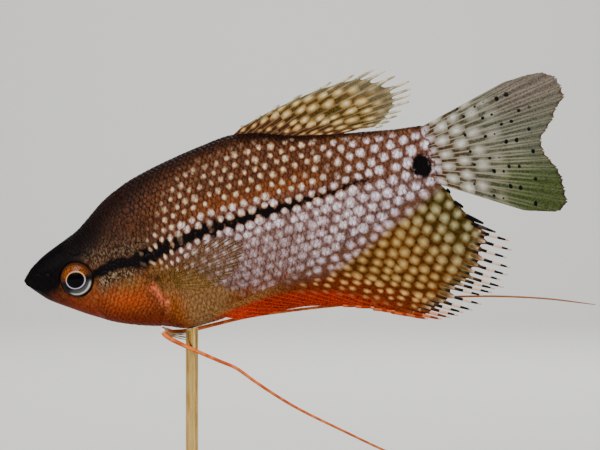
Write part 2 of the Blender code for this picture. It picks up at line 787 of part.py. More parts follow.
def belly_height(x, y):
    """How high the belly's skin is above the floor over a point of the base."""
    low, high = SNOUT_HEIGHT - 0.030, SNOUT_HEIGHT - 0.002
    for _ in range(40):
        middle = (low + high) / 2
        low, high = (low, middle) if inside_body(fish_point(x, y, middle)) else (middle, high)
    return high


def make_base(look, collection):
    """An oval plate with softened edges, flat below, standing on the floor."""
    shape = bmesh.new()
    size = Matrix.Diagonal((BASE_LENGTH / 2, BASE_WIDTH / 2, BASE_THICKNESS, 1))
    lift = Matrix.Translation((0, 0, BASE_THICKNESS / 2))
    bmesh.ops.create_cone(
        shape, cap_ends=True, segments=BASE_SIDES, radius1=1, radius2=1, depth=1, matrix=lift @ size
    )
    mesh = bpy.data.meshes.new("stand_base")
    shape.to_mesh(mesh)
    shape.free()
    base = add_object("stand_base", mesh, look, collection)
    bevel = base.modifiers.new("soft_edge", "BEVEL")
    bevel.width = BASE_EDGE
    bevel.segments = 2
    bevel.limit_method = "ANGLE"
    bevel.angle_limit = math.radians(40)


def make_rod(look, collection):
    """A straight rod whose top is shaped to the belly's skin and stops just short of it."""
    foot = BASE_THICKNESS + GAP
    turn = np.linspace(0, 2 * math.pi, ROD_SIDES, endpoint=False)
    circle = np.stack([ROD_X + ROD_RADIUS * np.cos(turn), ROD_RADIUS * np.sin(turn)], axis=1)
    top = np.array([belly_height(x, y) - GAP for x, y in circle])
    rings = [np.column_stack([circle, np.full(ROD_SIDES, foot)]), np.column_stack([circle, top])]
    ends = ((ROD_X, 0, foot), (ROD_X, 0, belly_height(ROD_X, 0) - GAP))
    add_object("stand_rod", lofted("stand_rod", rings, *ends), look, collection)


def make_collar(look, collection):
    """A turned ring round the rod's foot."""
    inner = ROD_RADIUS + GAP
    outer = COLLAR_RADIUS
    profile = (
        (inner, COLLAR_HEIGHT),
        (outer * 0.62, COLLAR_HEIGHT),
        (outer * 0.80, COLLAR_HEIGHT * 0.72),
        (outer, COLLAR_HEIGHT * 0.40),
        (outer, 0.0),
        (inner, 0.0),
    )
    mesh = bpy.data.meshes.new("stand_collar")
    edges = [(k, (k + 1) % len(profile)) for k in range(len(profile))]
    mesh.from_pydata([(x, 0, z) for x, z in profile], edges, [])
    collar = add_object("stand_collar", mesh, look, collection)
    collar.location = (ROD_X, 0, BASE_THICKNESS + GAP)
    turned = collar.modifiers.new("turned", "SCREW")
    turned.steps = turned.render_steps = COLLAR_STEPS
    turned.use_merge_vertices = True
    turned.merge_threshold = 0.00001


def make_gourami():
    clear_scene()
    looks = {
        "brown": material("brown_skin", SKIN_BROWN, 0.45),
        "lilac": material("lilac_skin", SKIN_LILAC, 0.35),
        "fin": material("fin_membrane", FIN_OLIVE, 0.40),
        "feeler": material("feeler", FEELER_ORANGE, 0.40),
        "eye": material("eye", EYE_BLACK, 0.10),
        "wood": material("walnut", WALNUT, 0.45),
        "brass": material("brass", BRASS, 0.25, 1.0),
    }
    collection = bpy.data.collections.new("pearl_gourami")
    bpy.context.scene.collection.children.link(collection)
    fish = bpy.data.objects.new("fish", None)
    fish.location = (SNOUT_X, 0, SNOUT_HEIGHT)
    fish.rotation_euler = (0, -NOSE_DOWN, 0)
    collection.objects.link(fish)
    make_body(looks, collection, fish)
    make_fins(looks, collection, fish)
    make_feeler("left", FEELER_LEFT, looks["feeler"], collection, fish)
    make_feeler("right", FEELER_RIGHT, looks["feeler"], collection, fish)
    make_base(looks["wood"], collection)
    make_rod(looks["brass"], collection)
    make_collar(looks["brass"], collection)


make_gourami()
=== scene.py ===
# %% [markdown]
# # A pearl gourami in the show case
# The imported solids of the fish and its stand are loaded first, as a fixed frame that nothing
# here moves. Every later cell adds one piece of the fish over them, at life size.

# %% Load the frame
import math

import bpy
import numpy as np
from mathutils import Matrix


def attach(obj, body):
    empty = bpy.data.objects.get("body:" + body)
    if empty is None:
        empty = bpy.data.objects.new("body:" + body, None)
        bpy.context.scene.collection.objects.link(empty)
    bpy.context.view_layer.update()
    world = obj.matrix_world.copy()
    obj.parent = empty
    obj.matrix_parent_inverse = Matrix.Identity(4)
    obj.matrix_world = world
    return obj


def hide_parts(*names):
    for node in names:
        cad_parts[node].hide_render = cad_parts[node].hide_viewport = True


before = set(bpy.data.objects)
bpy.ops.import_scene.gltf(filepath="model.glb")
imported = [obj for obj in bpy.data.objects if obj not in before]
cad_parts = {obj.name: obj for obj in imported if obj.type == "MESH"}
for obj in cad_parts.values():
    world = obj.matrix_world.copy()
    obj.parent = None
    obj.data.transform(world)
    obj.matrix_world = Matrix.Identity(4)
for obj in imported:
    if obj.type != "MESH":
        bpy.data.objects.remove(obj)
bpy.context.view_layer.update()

# %% [markdown]
# ## The fish's own frame
# A fish is easiest to describe in its own terms: how far along from the snout, how far to its
# right side, and how high above its midline, all in millimetres. It hangs nose down over its
# stand, so one function turns such points into the stand's metres.

# %% From fish millimetres to metres over the stand
NOSE_DOWN = math.radians(16)
SNOUT = np.array([-0.050, 0.0, 0.0530])
MILLIMETRE = 0.001


def over_stand(points):
    """Turns (along, side, height) nose down about the side axis, and moves it to the snout's place."""
    along, side, height = np.moveaxis(np.asarray(points, float) * MILLIMETRE, -1, 0)
    cosine, sine = math.cos(NOSE_DOWN), math.sin(NOSE_DOWN)
    return np.stack([along * cosine - height * sine, side, along * sine + height * cosine], -1) + SNOUT


print("the snout is at", over_stand([0, 0, 0]))

# %% [markdown]
# Smooth steps, bells and curves through a few knots are all the drawing tools that the shapes
# and the colours need. A table gives a curve its knots, one row for each.

# %% Steps, bells and curves


def soft(x, low, high):
    """A smooth step: 0 at low, 1 at high, and flat at both ends."""
    share = np.clip((np.asarray(x, float) - low) / (high - low), 0, 1)
    return share * share * (3 - 2 * share)


def bell(x, middle, width):
    """A bump of height 1 at the middle, which falls to a third one width away."""
    return np.exp(-(((np.asarray(x, float) - middle) / width) ** 2))


def through(knots, values, x):
    """A smooth curve through knots, without overshoot: cubics whose slopes are harmonic means."""
    knots, values, x = (np.asarray(part, float) for part in (knots, values, x))
    step = np.diff(knots)
    slope = np.diff(values) / step
    same = slope[1:] * slope[:-1] > 0
    both = np.where(same, slope[1:] + slope[:-1], 1.0)
    inner = np.where(same, 2 * slope[1:] * slope[:-1] / both, 0.0)
    tangent = np.concatenate([slope[:1], inner, slope[-1:]])
    i = np.clip(np.searchsorted(knots, x, side="right") - 1, 0, len(step) - 1)
    u = np.clip((x - knots[i]) / step[i], 0, 1)
    start = values[i] * (1 + 2 * u) * (1 - u) ** 2 + tangent[i] * step[i] * u * (1 - u) ** 2
    return start + values[i + 1] * u**2 * (3 - 2 * u) - tangent[i + 1] * step[i] * u**2 * (1 - u)


def read(table, x):
    """Reads each column of a table of (knot, value, ...) at x, and stacks them on a last axis."""
    table = np.array(table, float)
    return np.stack([through(table[:, 0], table[:, k], x) for k in range(1, table.shape[1])], -1)


def unit(vectors):
    """Each vector over its length."""
    return vectors / np.maximum(np.linalg.norm(vectors, axis=-1, keepdims=True), 1e-12)


print("a bell one width away:", round(float(bell(1, 0, 1)), 3))

# %% [markdown]
# ## The shape of the body
# The body is deep, flat-sided and widest behind the gills. It is a row of ovals, each drawn by
# its back, its belly, its half width and the level where it is widest, from snout to tail.

# %% Table of the ovals
BODY = (
    (0.0, -0.1, -0.1, 0.0, -0.1), (0.3, 0.6, -1.0, 0.8, -0.2), (1.0, 1.3, -2.1, 1.4, -0.4),
    (2.0, 2.2, -3.3, 2.0, -0.7), (3.5, 3.1, -5.0, 2.6, -1.0), (5.0, 3.9, -6.2, 3.1, -1.3),
    (7.5, 4.9, -8.0, 3.8, -1.6), (10.0, 5.8, -9.8, 4.4, -1.9), (12.5, 6.7, -11.4, 4.9, -2.2),
    (15.0, 8.2, -12.9, 5.3, -2.4), (20.0, 11.4, -15.1, 5.9, -2.6), (25.0, 13.4, -16.7, 6.3, -2.6),
    (30.0, 14.6, -18.4, 6.4, -2.2), (34.5, 15.4, -18.4, 6.3, -1.5), (41.0, 16.3, -17.6, 5.9, -0.8),
    (47.0, 16.8, -16.7, 5.4, -0.2), (52.0, 16.0, -15.6, 4.8, 0.2), (60.0, 13.2, -13.4, 4.0, 0.6),
    (68.0, 11.2, -10.9, 3.2, 0.8), (75.0, 9.8, -8.1, 2.5, 1.0), (80.0, 8.8, -5.9, 2.0, 1.3),
    (85.0, 8.1, -4.2, 1.2, 1.9),
)
LENGTH = 85.0


def section(along):
    """Back, belly, half width and widest level, as curves over the root of the distance along."""
    table = np.array(BODY)
    table[:, 0] = np.sqrt(table[:, 0])
    return np.moveaxis(read(table, np.sqrt(np.clip(along, 0, LENGTH))), -1, 0)


print("section at 30 mm", np.round(section(np.array([30.0])), 2).ravel(), "mm")

# %% [markdown]
# The skin is a function of two parameters: a station along the fish and a turn round the oval.
# Powers of sine and cosine make the flank flatter and the back and belly narrower than on an
# ellipse. The gill cover's edge is a bow, so the stations near it bow back too.

# %% The body as a surface of station and turn
SIDE_POWER, HEIGHT_POWER = 1.10, 0.92
GILL_CUT, GILL_BOW, GILL_LEVEL, GILL_SPREAD, GILL_REACH = 22.7, 3.7, -8.0, 8.0, 6.0


def powered(x, power):
    """The power of a number's size, with the number's sign."""
    return np.sign(x) * np.abs(x) ** power


def body(station, turn):
    """
    Height is the level plus the reach times a power of the cosine, and side is the half width
    times a power of the sine. Stations near the gill opening bow back along its edge.
    """
    station, turn = np.broadcast_arrays(np.asarray(station, float), np.asarray(turn, float))

    def height_at(along):
        """The oval's height at these turns, for a place along the fish."""
        back, belly, _, level = section(along)
        reach = np.where(np.cos(turn) > 0, back - level, level - belly)
        return level + reach * powered(np.cos(turn), HEIGHT_POWER)

    bow = GILL_BOW * bell(height_at(station), GILL_LEVEL, GILL_SPREAD)
    along = station + bow * bell(station, GILL_CUT, GILL_REACH)
    side = section(along)[2] * powered(np.sin(turn), SIDE_POWER)
    return np.stack([along, side, height_at(along)], -1)


def outward(station, turn):
    """The unit normal: the cross product of short steps along the station and round the turn."""
    ahead = body(station + 0.02, turn) - body(np.maximum(station - 0.02, 0.01), turn)
    around = body(station, turn + 0.002) - body(station, turn - 0.002)
    return unit(np.cross(ahead, around))


def flank_turn(along, height):
    """The turn at which the body has this height: the oval's formula run backwards."""
    back, belly, _, level = section(along)
    reach = np.where(height > level, back - level, level - belly)
    return np.arccos(powered((height - level) / reach, 1 / HEIGHT_POWER))


print("a point of the flank:", np.round(body(30.0, math.pi / 2), 2), "mm")

# %% [markdown]
# ## Relief of the head
# A gourami's head is smooth but not plain: the gill cover stands off the flank along its rear
# edge, each eye sits in a socket with a raised rim, two nostrils open before it, and the small
# mouth is a slanting line between two lips. All of these are bumps and hollows added to the
# body's surface along its normal, so that the skin stays one piece.

# %% Relief of gill cover, sockets, nostrils and mouth
EYE = np.array([10.65, -2.6])
NOSTRILS = ((3.6, 0.5, 0.24), (5.5, 0.1, 0.30))
COAT = 0.17
COVER_RISE, COVER_DROP, COVER_LENGTH = 0.40, 0.22, 5.0
SOCKET_RADIUS, SOCKET_DEPTH = 3.55, 1.7
RIM_RADIUS, RIM_RISE = 3.95, 0.14
CHEEK_MIDDLE, FOLD_RADIUS = (13.2, -1.2), 6.7
LIP_RISE, MOUTH_DEPTH, MOUTH_HALF = 0.17, 0.26, 2.25


def mouth_height(side):
    """The mouth's line: level at the middle, and lower towards each corner."""
    return -0.35 - 2.2 * np.abs(side / 1.95) ** 1.5


def relief(points, station):
    """Millimetres outwards: smooth steps and bells of the distance from each feature."""
    along, side, height = np.moveaxis(points, -1, 0)
    cover = soft(3.5 - height, 0, 4) * soft(height, -15.5, -12.5)
    before = np.clip((station - GILL_CUT + COVER_LENGTH) / COVER_LENGTH, 0, 1) ** 2 * (station <= GILL_CUT)
    behind = np.exp(-np.maximum(station - GILL_CUT, 0) / 0.9) * (station > GILL_CUT)
    out = cover * (COVER_RISE * before - COVER_DROP * behind)
    ring = np.hypot(along - EYE[0], height - EYE[1])
    out = out - SOCKET_DEPTH * soft(SOCKET_RADIUS - ring, 0, 0.8) + RIM_RISE * bell(ring, RIM_RADIUS, 0.35)
    for place, level, size in NOSTRILS:
        pit = np.hypot(along - place, height - level)
        out = out - 0.38 * bell(pit, 0, size) + 0.07 * bell(pit, 1.9 * size, 0.6 * size)
    cheek = np.hypot(along - CHEEK_MIDDLE[0], height - CHEEK_MIDDLE[1])
    sector = soft(along, 12, 15) * soft(-height, 4, 6)
    fold = 0.06 * bell(cheek, FOLD_RADIUS, 0.5) - 0.09 * bell(cheek, FOLD_RADIUS + 0.6, 0.4)
    gap = height - mouth_height(side)
    corner = soft(MOUTH_HALF - np.abs(side), 0, 0.3) * soft(3.6 - along, 0, 0.8)
    lips = LIP_RISE * (bell(gap, 0.42, 0.25) + bell(gap, -0.45, 0.28))
    return out + sector * fold + corner * (lips - MOUTH_DEPTH * bell(gap, 0, 0.13))


def skin_points(station, turn, lift=0.0):
    """The body moved along its normal by the relief, less the coat's depth, plus a lift."""
    points = body(station, turn)
    away = relief(points, station) - COAT + lift
    return points + outward(station, turn) * away[..., None]


cover_edge = float(relief(body(22.6, 1.8), np.array(22.6)))
print("gill cover stands off by", round(cover_edge, 2), "mm")

# %% [markdown]
# ## The markings
# The colours follow the body, so they are worked out from where a point is on the fish: a dark
# snout and back, a black line from the eye to the tail, an orange cheek and breast, a golden
# belly with a red hem, and lilac flanks. Each marking is a number from 0 to 1 stored on the
# mesh, and the materials mix their colours by it. Skin, scales and the anal fin's scaly root
# all use the same function, so their colours meet.

# %% Edges of the markings
STRIPE = (
    (13.5, -2.7, 0.75), (16.0, -2.4, 0.90), (18.7, -1.9, 1.12), (22.0, -2.3, 1.12), (24.6, -2.3, 1.85),
    (27.5, -1.8, 1.60), (30.0, -1.25, 1.62), (33.0, -1.0, 1.60), (36.0, -0.7, 1.56),
    (40.0, -0.45, 1.50), (45.0, -0.35, 1.42), (52.0, -0.1, 1.22), (58.0, 0.0, 0.86), (64.0, 0.1, 0.52),
    (69.0, 0.6, 0.38), (73.0, 0.2, 0.10),
)
DARK_EDGE = (
    (0, -3.9, 0.4), (3, -3.7, 0.5), (6.5, -3.4, 0.6), (8.2, -1.0, 1.0), (10.5, 0.8, 0.8),
    (13.5, 1.2, 1.4), (16, 2.6, 2.2), (20, 6.0, 3.0), (25, 8.4, 3.0), (30, 10.8, 3.0), (38, 13.4, 2.0),
    (47, 14.7, 1.5), (60, 11.7, 1.0), (85, 7.5, 0.8),
)
LILAC_EDGE = (
    (26, -4.0), (31, -6.0), (35, -8.5), (39, -12.0), (42, -14.0), (46, -14.8), (52, -15.3),
    (57, -15.8), (62, -14.7), (66, -13.3), (72, -10.7), (80, -7.4), (86, -4.6),
)
RED_EDGE = ((33, -18.2), (40, -16.9), (46, -16.4), (52, -17.0), (60, -19.3), (66, -22.3), (74, -27.0))
widest = max(STRIPE, key=lambda row: row[2])
print("the black line is widest at", widest[0], "mm, with", 2 * widest[2], "mm")

# %% [markdown]
# Each marking is a product of smooth steps off those edges and of bells round a place, all in
# millimetres of the fish. Most bring in a colour. "pearl" says where pearls may lie, and "fill"
# how much of their cell they take.

# %% The markings at a place


def markings(along, height):
    """Smooth steps and bells of the place, by the name of the marking that they draw."""
    back, belly, _, _ = section(along)
    line, half = np.moveaxis(read(STRIPE, along), -1, 0)
    edge, blur = np.moveaxis(read(DARK_EDGE, along), -1, 0)
    lilac_edge = read(LILAC_EDGE, along)[..., 0]
    red_edge = read(RED_EDGE, along)[..., 0]
    bite = soft(along, 24, 30)
    swing = line + 0.32 * bite * np.sin(2 * math.pi * along / 2.3)
    swell = half * (1 + 0.26 * bite * np.cos(2 * math.pi * along / 1.9))
    on_line = soft(swell + 0.16 - np.abs(height - swing), 0, 0.3)
    on_line = on_line * soft(along, 13.6, 14.4) * soft(73.5 - along, 0, 2)
    spot = soft(1.12 - np.hypot((along - 82.7) / 2.0, (height - 0.1) / 2.3), 0, 0.16)
    # A painted shadow at the pectoral fin's root: a dark bell that the black marking takes in.
    painted_fin_root_shadow = bell(np.hypot(along - 26.0, height + 6.9), 0, 0.6)
    dark = soft(height - edge, -blur, blur)
    orange = soft(-4.2 - height, -0.5, 1.8) * soft(25.5 + 0.5 * np.maximum(-9 - height, 0) - along, 0, 3.5)
    nape = soft(along - 23.0 - 0.8 * np.maximum(height - line - 1.5, 0), 0, 6)
    top = soft(back - height, 1.6 - 0.8 * soft(along, 50, 60), 6.5 - 4.2 * soft(along, 42, 58))
    top = top * (1 - 0.35 * soft(height - line, 2, 9) * soft(56 - along, 0, 14))
    beside = bell(np.abs(height - line), half + 0.8, 0.9) * soft(along, 24, 32)
    plain = soft(lilac_edge - height, -1.0, 2.0)
    faint = soft(line - 2.5 - height, 0, 4) * soft(62 - along, 0, 12)
    under = soft(line - height, 0.0, 1.5)
    silver = bell(height, line - 2.2, 1.7) * soft(along, 13.5, 16) * soft(25 - along, 0, 4)
    crown = 0.48 * bell(height, line + 2.7, 2.2) * soft(along, 12, 15) * soft(30 - along, 0, 8)
    full = np.maximum(under * soft(along, 28, 54), 0.9 * soft(along, 67, 87))
    bar = np.clip((height + 8.4) / -3.4, 0, 1)
    flap = bell(np.hypot(along - 24.9 - 1.5 * bar, height + 8.4 + 3.6 * bar), 0, 0.8)
    return {
        "rear": np.maximum(soft(along, 58, 80), 0.7 * beside * soft(along, 28, 36)) * (1 - 0.4 * dark),
        "lilac": under * soft(along, 27, 42) * (1 - plain),
        "gold": plain * soft(along, 24.5, 27),
        "brass": bell(along, 27.5, 3.0) * bell(height, -7.0, 2.6),
        "honey": bell(along, 27.6, 2.4) * soft(-8.5 - height, 0, 4),
        "nape": soft(height - line, 0, 2) * soft(34 - along, 0, 14),
        "warm": bell(height, line + 2.6, 3.0) * soft(along, 30, 42) * soft(66 - along, 0, 8),
        "rust": soft(red_edge + 3.6 - height, -2.0, 2.4) * soft(along, 36, 42) * soft(84 - along, 0, 14),
        "orange": orange,
        "ember": orange * bell(along, 19.5, 5.5) * bell(height, -9.5, 3.0),
        "tan": 0.8 * orange * bell(along, 21.0, 3.6) * bell(height, -6.0, 2.0),
        "throat": orange * soft(belly + 4.5 - height, -1.0, 4.0),
        "chin": soft(10 - along, 0, 6.5) * soft(-2.8 - height, 0, 1.0),
        "silver": np.maximum(silver, crown),
        "dark": dark,
        "night": dark * soft(23 - along, 0, 11),
        "red": soft(red_edge - height, -0.7, 0.8) * soft(along, 32, 35.5) * soft(76 - along, 0, 18),
        "flap": flap,
        # Black holds the line, the tail spot and the painted shadow at the pectoral fin's root.
        "black": np.maximum(np.maximum(on_line, spot), 0.8 * painted_fin_root_shadow),
        "fill": np.maximum(full, 0.6 * beside),
        "pearl": (1 - 0.93 * plain) * (1 - 0.55 * faint) * top * nape * (1 - spot),
    }


mid_flank = markings(np.array([50.0]), np.array([-8.0]))
print("at mid flank:", {key: round(float(value[0]), 2) for key, value in mid_flank.items()})

# %% [markdown]
# ## Distances round the body
# Scales and pearls lie in rows along the fish, counted from the lateral line. To place them, a
# table is walked round the body at many stations. It turns a distance from the lateral line
# into a turn round the oval, and a turn into that distance.

# %% Tables between turn and distance
TABLE_STEP = 0.5
ARC_STEP = 0.25
ARC_REACH = 32.0
TURN_STEPS = 720


def look_up(table, row, column):
    """Reads a table between its four nearest values."""
    row = np.clip(row, 0, table.shape[0] - 1.001)
    column = np.clip(column, 0, table.shape[1] - 1.001)
    i, j = row.astype(int), column.astype(int)
    u, v = row - i, column - j
    low = table[i, j] * (1 - v) + table[i, j + 1] * v
    return low * (1 - u) + (table[i + 1, j] * (1 - v) + table[i + 1, j + 1] * v) * u


table_stations = np.arange(TABLE_STEP, LENGTH + TABLE_STEP, TABLE_STEP)
arcs = np.arange(-ARC_REACH, ARC_REACH + ARC_STEP, ARC_STEP)
fine_turn = np.linspace(-0.5 * math.pi, 1.5 * math.pi, TURN_STEPS + 1)
ridge, keel = TURN_STEPS // 4, 3 * TURN_STEPS // 4
rows = body(table_stations[:, None], fine_turn[None])
walked = np.cumsum(np.linalg.norm(np.diff(rows, axis=1, prepend=rows[:, :1]), axis=-1), axis=1)
line_level = read(STRIPE, np.clip(rows[:, ridge, 0], 14, 72))[..., 0]
line_start = np.array([
    np.interp(-level, -row[ridge:keel, 2], distance[ridge:keel])
    for level, row, distance in zip(line_level, rows, walked)
])
arc_table = line_start[:, None] - walked
turn_table = np.array([np.interp(arcs, row[::-1], fine_turn[::-1]) for row in arc_table])
back_arc, belly_arc = arc_table[:, ridge], -arc_table[:, keel]


def turn_at(station, arc):
    """The turn at a distance above the lateral line."""
    return look_up(turn_table, (station - table_stations[0]) / TABLE_STEP, (arc + ARC_REACH) / ARC_STEP)


def arc_at(station, turn):
    """The distance above the lateral line at a turn, the same on both flanks."""
    folded = np.abs((turn + math.pi) % (2 * math.pi) - math.pi)
    column = ridge + folded / (2 * math.pi) * TURN_STEPS
    return look_up(arc_table, (station - table_stations[0]) / TABLE_STEP, column)


girth = float(np.interp(25, table_stations, back_arc + belly_arc))
print("half girth at the gill", round(girth, 1), "mm")

# %% [markdown]
# ## Where the pearls lie
# The pearls stand in staggered rows, about two millimetres apart, and grow towards the tail.
# The rows part where the black line is wide, but bite a little into its edges. A map whose unit
# is this spacing makes them easy to draw: each pearl then lies near the middle of a cell.

# %% The pearls' own map
PEARL_SPACING = ((0, 1.8), (25, 2.0), (45, 2.25), (60, 2.4), (72, 2.6), (86, 2.9))
PEARL_ROWS = ((0, 1.7), (25, 1.75), (45, 1.9), (60, 2.0), (86, 2.45))
SCATTER = 0.32
CELL_SHIFT = SCATTER / 2 - 0.5
BITE = 0.14
WALK_STEP = 0.25


def walk(table, end):
    """Distances up to the end, and how many of the table's spacings lie before each of them."""
    marks = np.linspace(0, end, int(end / WALK_STEP) + 1)
    return marks, np.cumsum(WALK_STEP / read(table, marks)[..., 0])


def pearl_map(along, arc):
    """Spacings walked along the fish, and rows from the line, which part by the line's half width."""
    row = read(PEARL_ROWS, along)[..., 0]
    part = np.maximum(read(STRIPE, along)[..., 1] - BITE - row / 2, 0) * soft(along, 14, 20)
    rows_up = np.sign(arc) * np.maximum(np.abs(arc) - part, 0) / row
    return np.stack([np.interp(along, *flank_walk), rows_up + CELL_SHIFT], -1)


flank_walk = walk(PEARL_SPACING, 90.0)
print("pearls along the flank:", round(float(flank_walk[1][-1]), 1))

# %% [markdown]
# ## Making a piece
# Each piece is a numpy array of points and one of faces. Most are grids: open for a fin, wrapped
# round for a body, a rod or a thread, and doubled into a thin sheet for a scale.

# %% Faces of grids, tubes and sheets


def full_turn(count):
    """Evenly spaced angles round a circle, without the last that would repeat the first."""
    return np.linspace(0, 2 * math.pi, count, endpoint=False)


def grid_faces(rows, columns, wrap=False):
    """Quads between a grid's points, row by row. A wrapped grid joins its last column to its first."""
    last = columns if wrap else columns - 1
    row, column = np.meshgrid(np.arange(rows - 1), np.arange(last), indexing="ij")
    here, after = row * columns + column, row * columns + (column + 1) % columns
    return np.stack([here, after, after + columns, here + columns], -1).reshape(-1, 4)


def fan_faces(ring, middle):
    """Triangles from a ring of points to one point, as quads that repeat their last corner."""
    centre = np.full_like(ring, middle)
    return np.stack([ring, np.roll(ring, -1), centre, centre], -1)


def tube_faces(rings, sides):
    """A wrapped grid with a fan over each end. The two end points follow the grid's points."""
    count = rings * sides
    first, last = np.arange(sides)[::-1], np.arange(count - sides, count)
    ends = [fan_faces(first, count), fan_faces(last, count + 1)]
    return np.concatenate([grid_faces(rings, sides, wrap=True), *ends])


def sheet_faces(rows, columns):
    """Two equal grids, the second behind the first and facing back, with a strip round their rim."""
    index = np.arange(rows * columns).reshape(rows, columns)
    rim = np.concatenate([index[0], index[1:, -1], index[-1, -2::-1], index[-2:0:-1, 0]])
    after, size = np.roll(rim, -1), rows * columns
    face = grid_faces(rows, columns)
    strip = np.stack([rim, rim + size, after + size, after], -1)
    return face, face[:, ::-1] + size, strip


print("a tube of 3 rings with 8 sides has", len(tube_faces(3, 8)), "faces")

# %% [markdown]
# One helper puts points and faces in a mesh, adds the stored values and maps, turns a mesh that
# came out inside out, and hands the piece to the frame with the part it stands for. A closed
# mesh faces outwards when its volume, summed over its faces, is positive.

# %% Add a piece to the model


def place_object(name, data):
    """An object at the origin that shows this mesh, light or camera."""
    made = bpy.data.objects.new(name, data)
    bpy.context.scene.collection.objects.link(made)
    return made


def add_piece(name, points, faces, material, stands_for=(), values=None, maps=None, corner_maps=None):
    """A named piece of the model. Its points are already over the stand, in metres."""
    a, b, c, d = (points[faces[:, k]] for k in range(4))
    volume = np.einsum("ij,ij->", a, np.cross(b, c)) + np.einsum("ij,ij->", a, np.cross(c, d))
    order = [0, 1, 2, 3] if volume > 0 else [3, 2, 1, 0]
    lists = [tuple(dict.fromkeys(face)) for face in faces[:, order].tolist()]
    mesh = bpy.data.meshes.new(name)
    mesh.from_pydata(points.tolist(), [], lists)
    mesh.materials.append(material)
    mesh.shade_smooth()
    for key, numbers in (values or {}).items():
        layer = mesh.attributes.new(key, "FLOAT", "POINT")
        layer.data.foreach_set("value", np.ascontiguousarray(numbers, np.float32).ravel())
    corners = np.empty(len(mesh.loops), np.int32)
    mesh.loops.foreach_get("vertex_index", corners)
    placed = {key: np.asarray(places)[corners] for key, places in (maps or {}).items()}
    placed.update({key: places[:, order] for key, places in (corner_maps or {}).items()})
    for key, places in placed.items():
        layer = mesh.uv_layers.new(name=key)
        layer.uv.foreach_set("vector", places.astype(np.float32).ravel())
    piece = place_object(name, mesh)
    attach(piece, "root")
    if stands_for:
        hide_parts(*stands_for)
    print(name, len(points), "points,", sum(len(face) - 2 for face in lists), "triangles")
    return piece


# %% [markdown]
# ## Mixing materials
# Real colours are layered: ground, then markings, then fine speckle. A material starts as one
# shader, whose finish is set by constant sockets. Colours are written as a display shows them,
# from 0 to 255 a channel, and turned into the linear values that shaders take.

# %% Start a material


def paint(red, green, blue):
    """A display colour as linear values: a straight line near black, and a power above it."""
    share = np.array([red, green, blue]) / 255
    linear = np.where(share <= 0.04045, share / 12.92, ((share + 0.055) / 1.055) ** 2.4)
    return (*linear.tolist(), 1.0)


def new_material(name, roughness, **constants):
    """A material whose shader has these constant sockets, named with _ for each space."""
    made = bpy.data.materials.new(name)
    made.use_nodes = True
    shader = made.node_tree.nodes["Principled BSDF"]
    shader.inputs["Roughness"].default_value = roughness
    for key, value in constants.items():
        shader.inputs[key.replace("_", " ")].default_value = value
    return made, made.node_tree, shader


print("a display grey of 128 is", round(paint(128, 128, 128)[0], 3), "in linear light")

# %% [markdown]
# Nodes work something out at every point of a surface. With one short function for each kind of
# sum, a smooth step and a mix, a material reads like the formula that it is. A layer is a colour
# that is mixed over the ones before it by one of the piece's stored markings.

# %% Sums, steps and mixes


def feed(socket, value):
    """Links a socket to another, or sets its number or colour."""
    if isinstance(value, bpy.types.NodeSocket):
        socket.id_data.links.new(value, socket)
    else:
        socket.default_value = value


def dye(shader, colour):
    """Gives a shader its colour."""
    feed(shader.inputs["Base Color"], colour)


def sum_of(kind):
    """The function that adds one node for this kind of sum, fed with sockets and numbers."""

    def add_node(*values):
        """One node of this kind, in the tree of the first socket among the values."""
        tree = next(value.id_data for value in values if isinstance(value, bpy.types.NodeSocket))
        node = tree.nodes.new("ShaderNodeMath")
        node.operation = kind
        for socket, value in zip(node.inputs, values):
            feed(socket, value)
        return node.outputs[0]

    return add_node


KINDS = ("ADD", "SUBTRACT", "MULTIPLY", "DIVIDE", "MULTIPLY_ADD", "MAXIMUM", "MINIMUM", "SINE", "SQRT")
plus, minus, times, divided, times_plus, larger, smaller, sine, square_root = map(sum_of, KINDS)


def blend(factor, below, above):
    """The colour above laid over the one below by the factor. Three numbers are a display colour."""
    node = factor.id_data.nodes.new("ShaderNodeMix")
    node.data_type = "RGBA"
    for index, value in ((0, factor), (6, below), (7, above)):
        feed(node.inputs[index], paint(*value) if isinstance(value, tuple) else value)
    return node.outputs[2]


def between(value, low, high):
    """A smooth step of a socket's value, 0 at low and 1 at high."""
    node = value.id_data.nodes.new("ShaderNodeMapRange")
    node.interpolation_type = "SMOOTHSTEP"
    for name, number in (("Value", value), ("From Min", low), ("From Max", high)):
        feed(node.inputs[name], number)
    return node.outputs["Result"]


print("functions for", len(KINDS), "kinds of sum")

# %% [markdown]
# Patterns read the piece itself: its stored markings, its own maps, or noise over its place in
# millimetres. Noise sits in the fish's frame, so a stretched speckle runs along its flank.

# %% Markings, maps, noise and bumps


def stored(tree, name):
    """The value of one of the piece's markings, or 0 where it has none of this name."""
    node = tree.nodes.new("ShaderNodeAttribute")
    node.attribute_name = name
    return node.outputs["Fac"]


def split(vector):
    """The three parts of a vector."""
    node = vector.id_data.nodes.new("ShaderNodeSeparateXYZ")
    feed(node.inputs[0], vector)
    return node.outputs


def map_place(tree, name):
    """The two coordinates of one of the piece's own maps."""
    node = tree.nodes.new("ShaderNodeUVMap")
    node.uv_map = name
    return split(node.outputs[0])[:2]


def noise(tree, size, detail=3.0, stretch=(1, 1, 1), turned=True):
    """Noise over the piece. Its size is in millimetres, longer along a stretched axis of the fish."""
    place = tree.nodes.new("ShaderNodeTexCoord")
    mapping = tree.nodes.new("ShaderNodeMapping")
    mapping.vector_type = "TEXTURE"
    mapping.inputs["Rotation"].default_value = (0, -NOSE_DOWN if turned else 0, 0)
    mapping.inputs["Scale"].default_value = [size * part * MILLIMETRE for part in stretch]
    node = tree.nodes.new("ShaderNodeTexNoise")
    node.inputs["Scale"].default_value = 1.0
    node.inputs["Detail"].default_value = detail
    feed(mapping.inputs["Vector"], place.outputs["Object"])
    feed(node.inputs["Vector"], mapping.outputs[0])
    return node.outputs["Fac"]


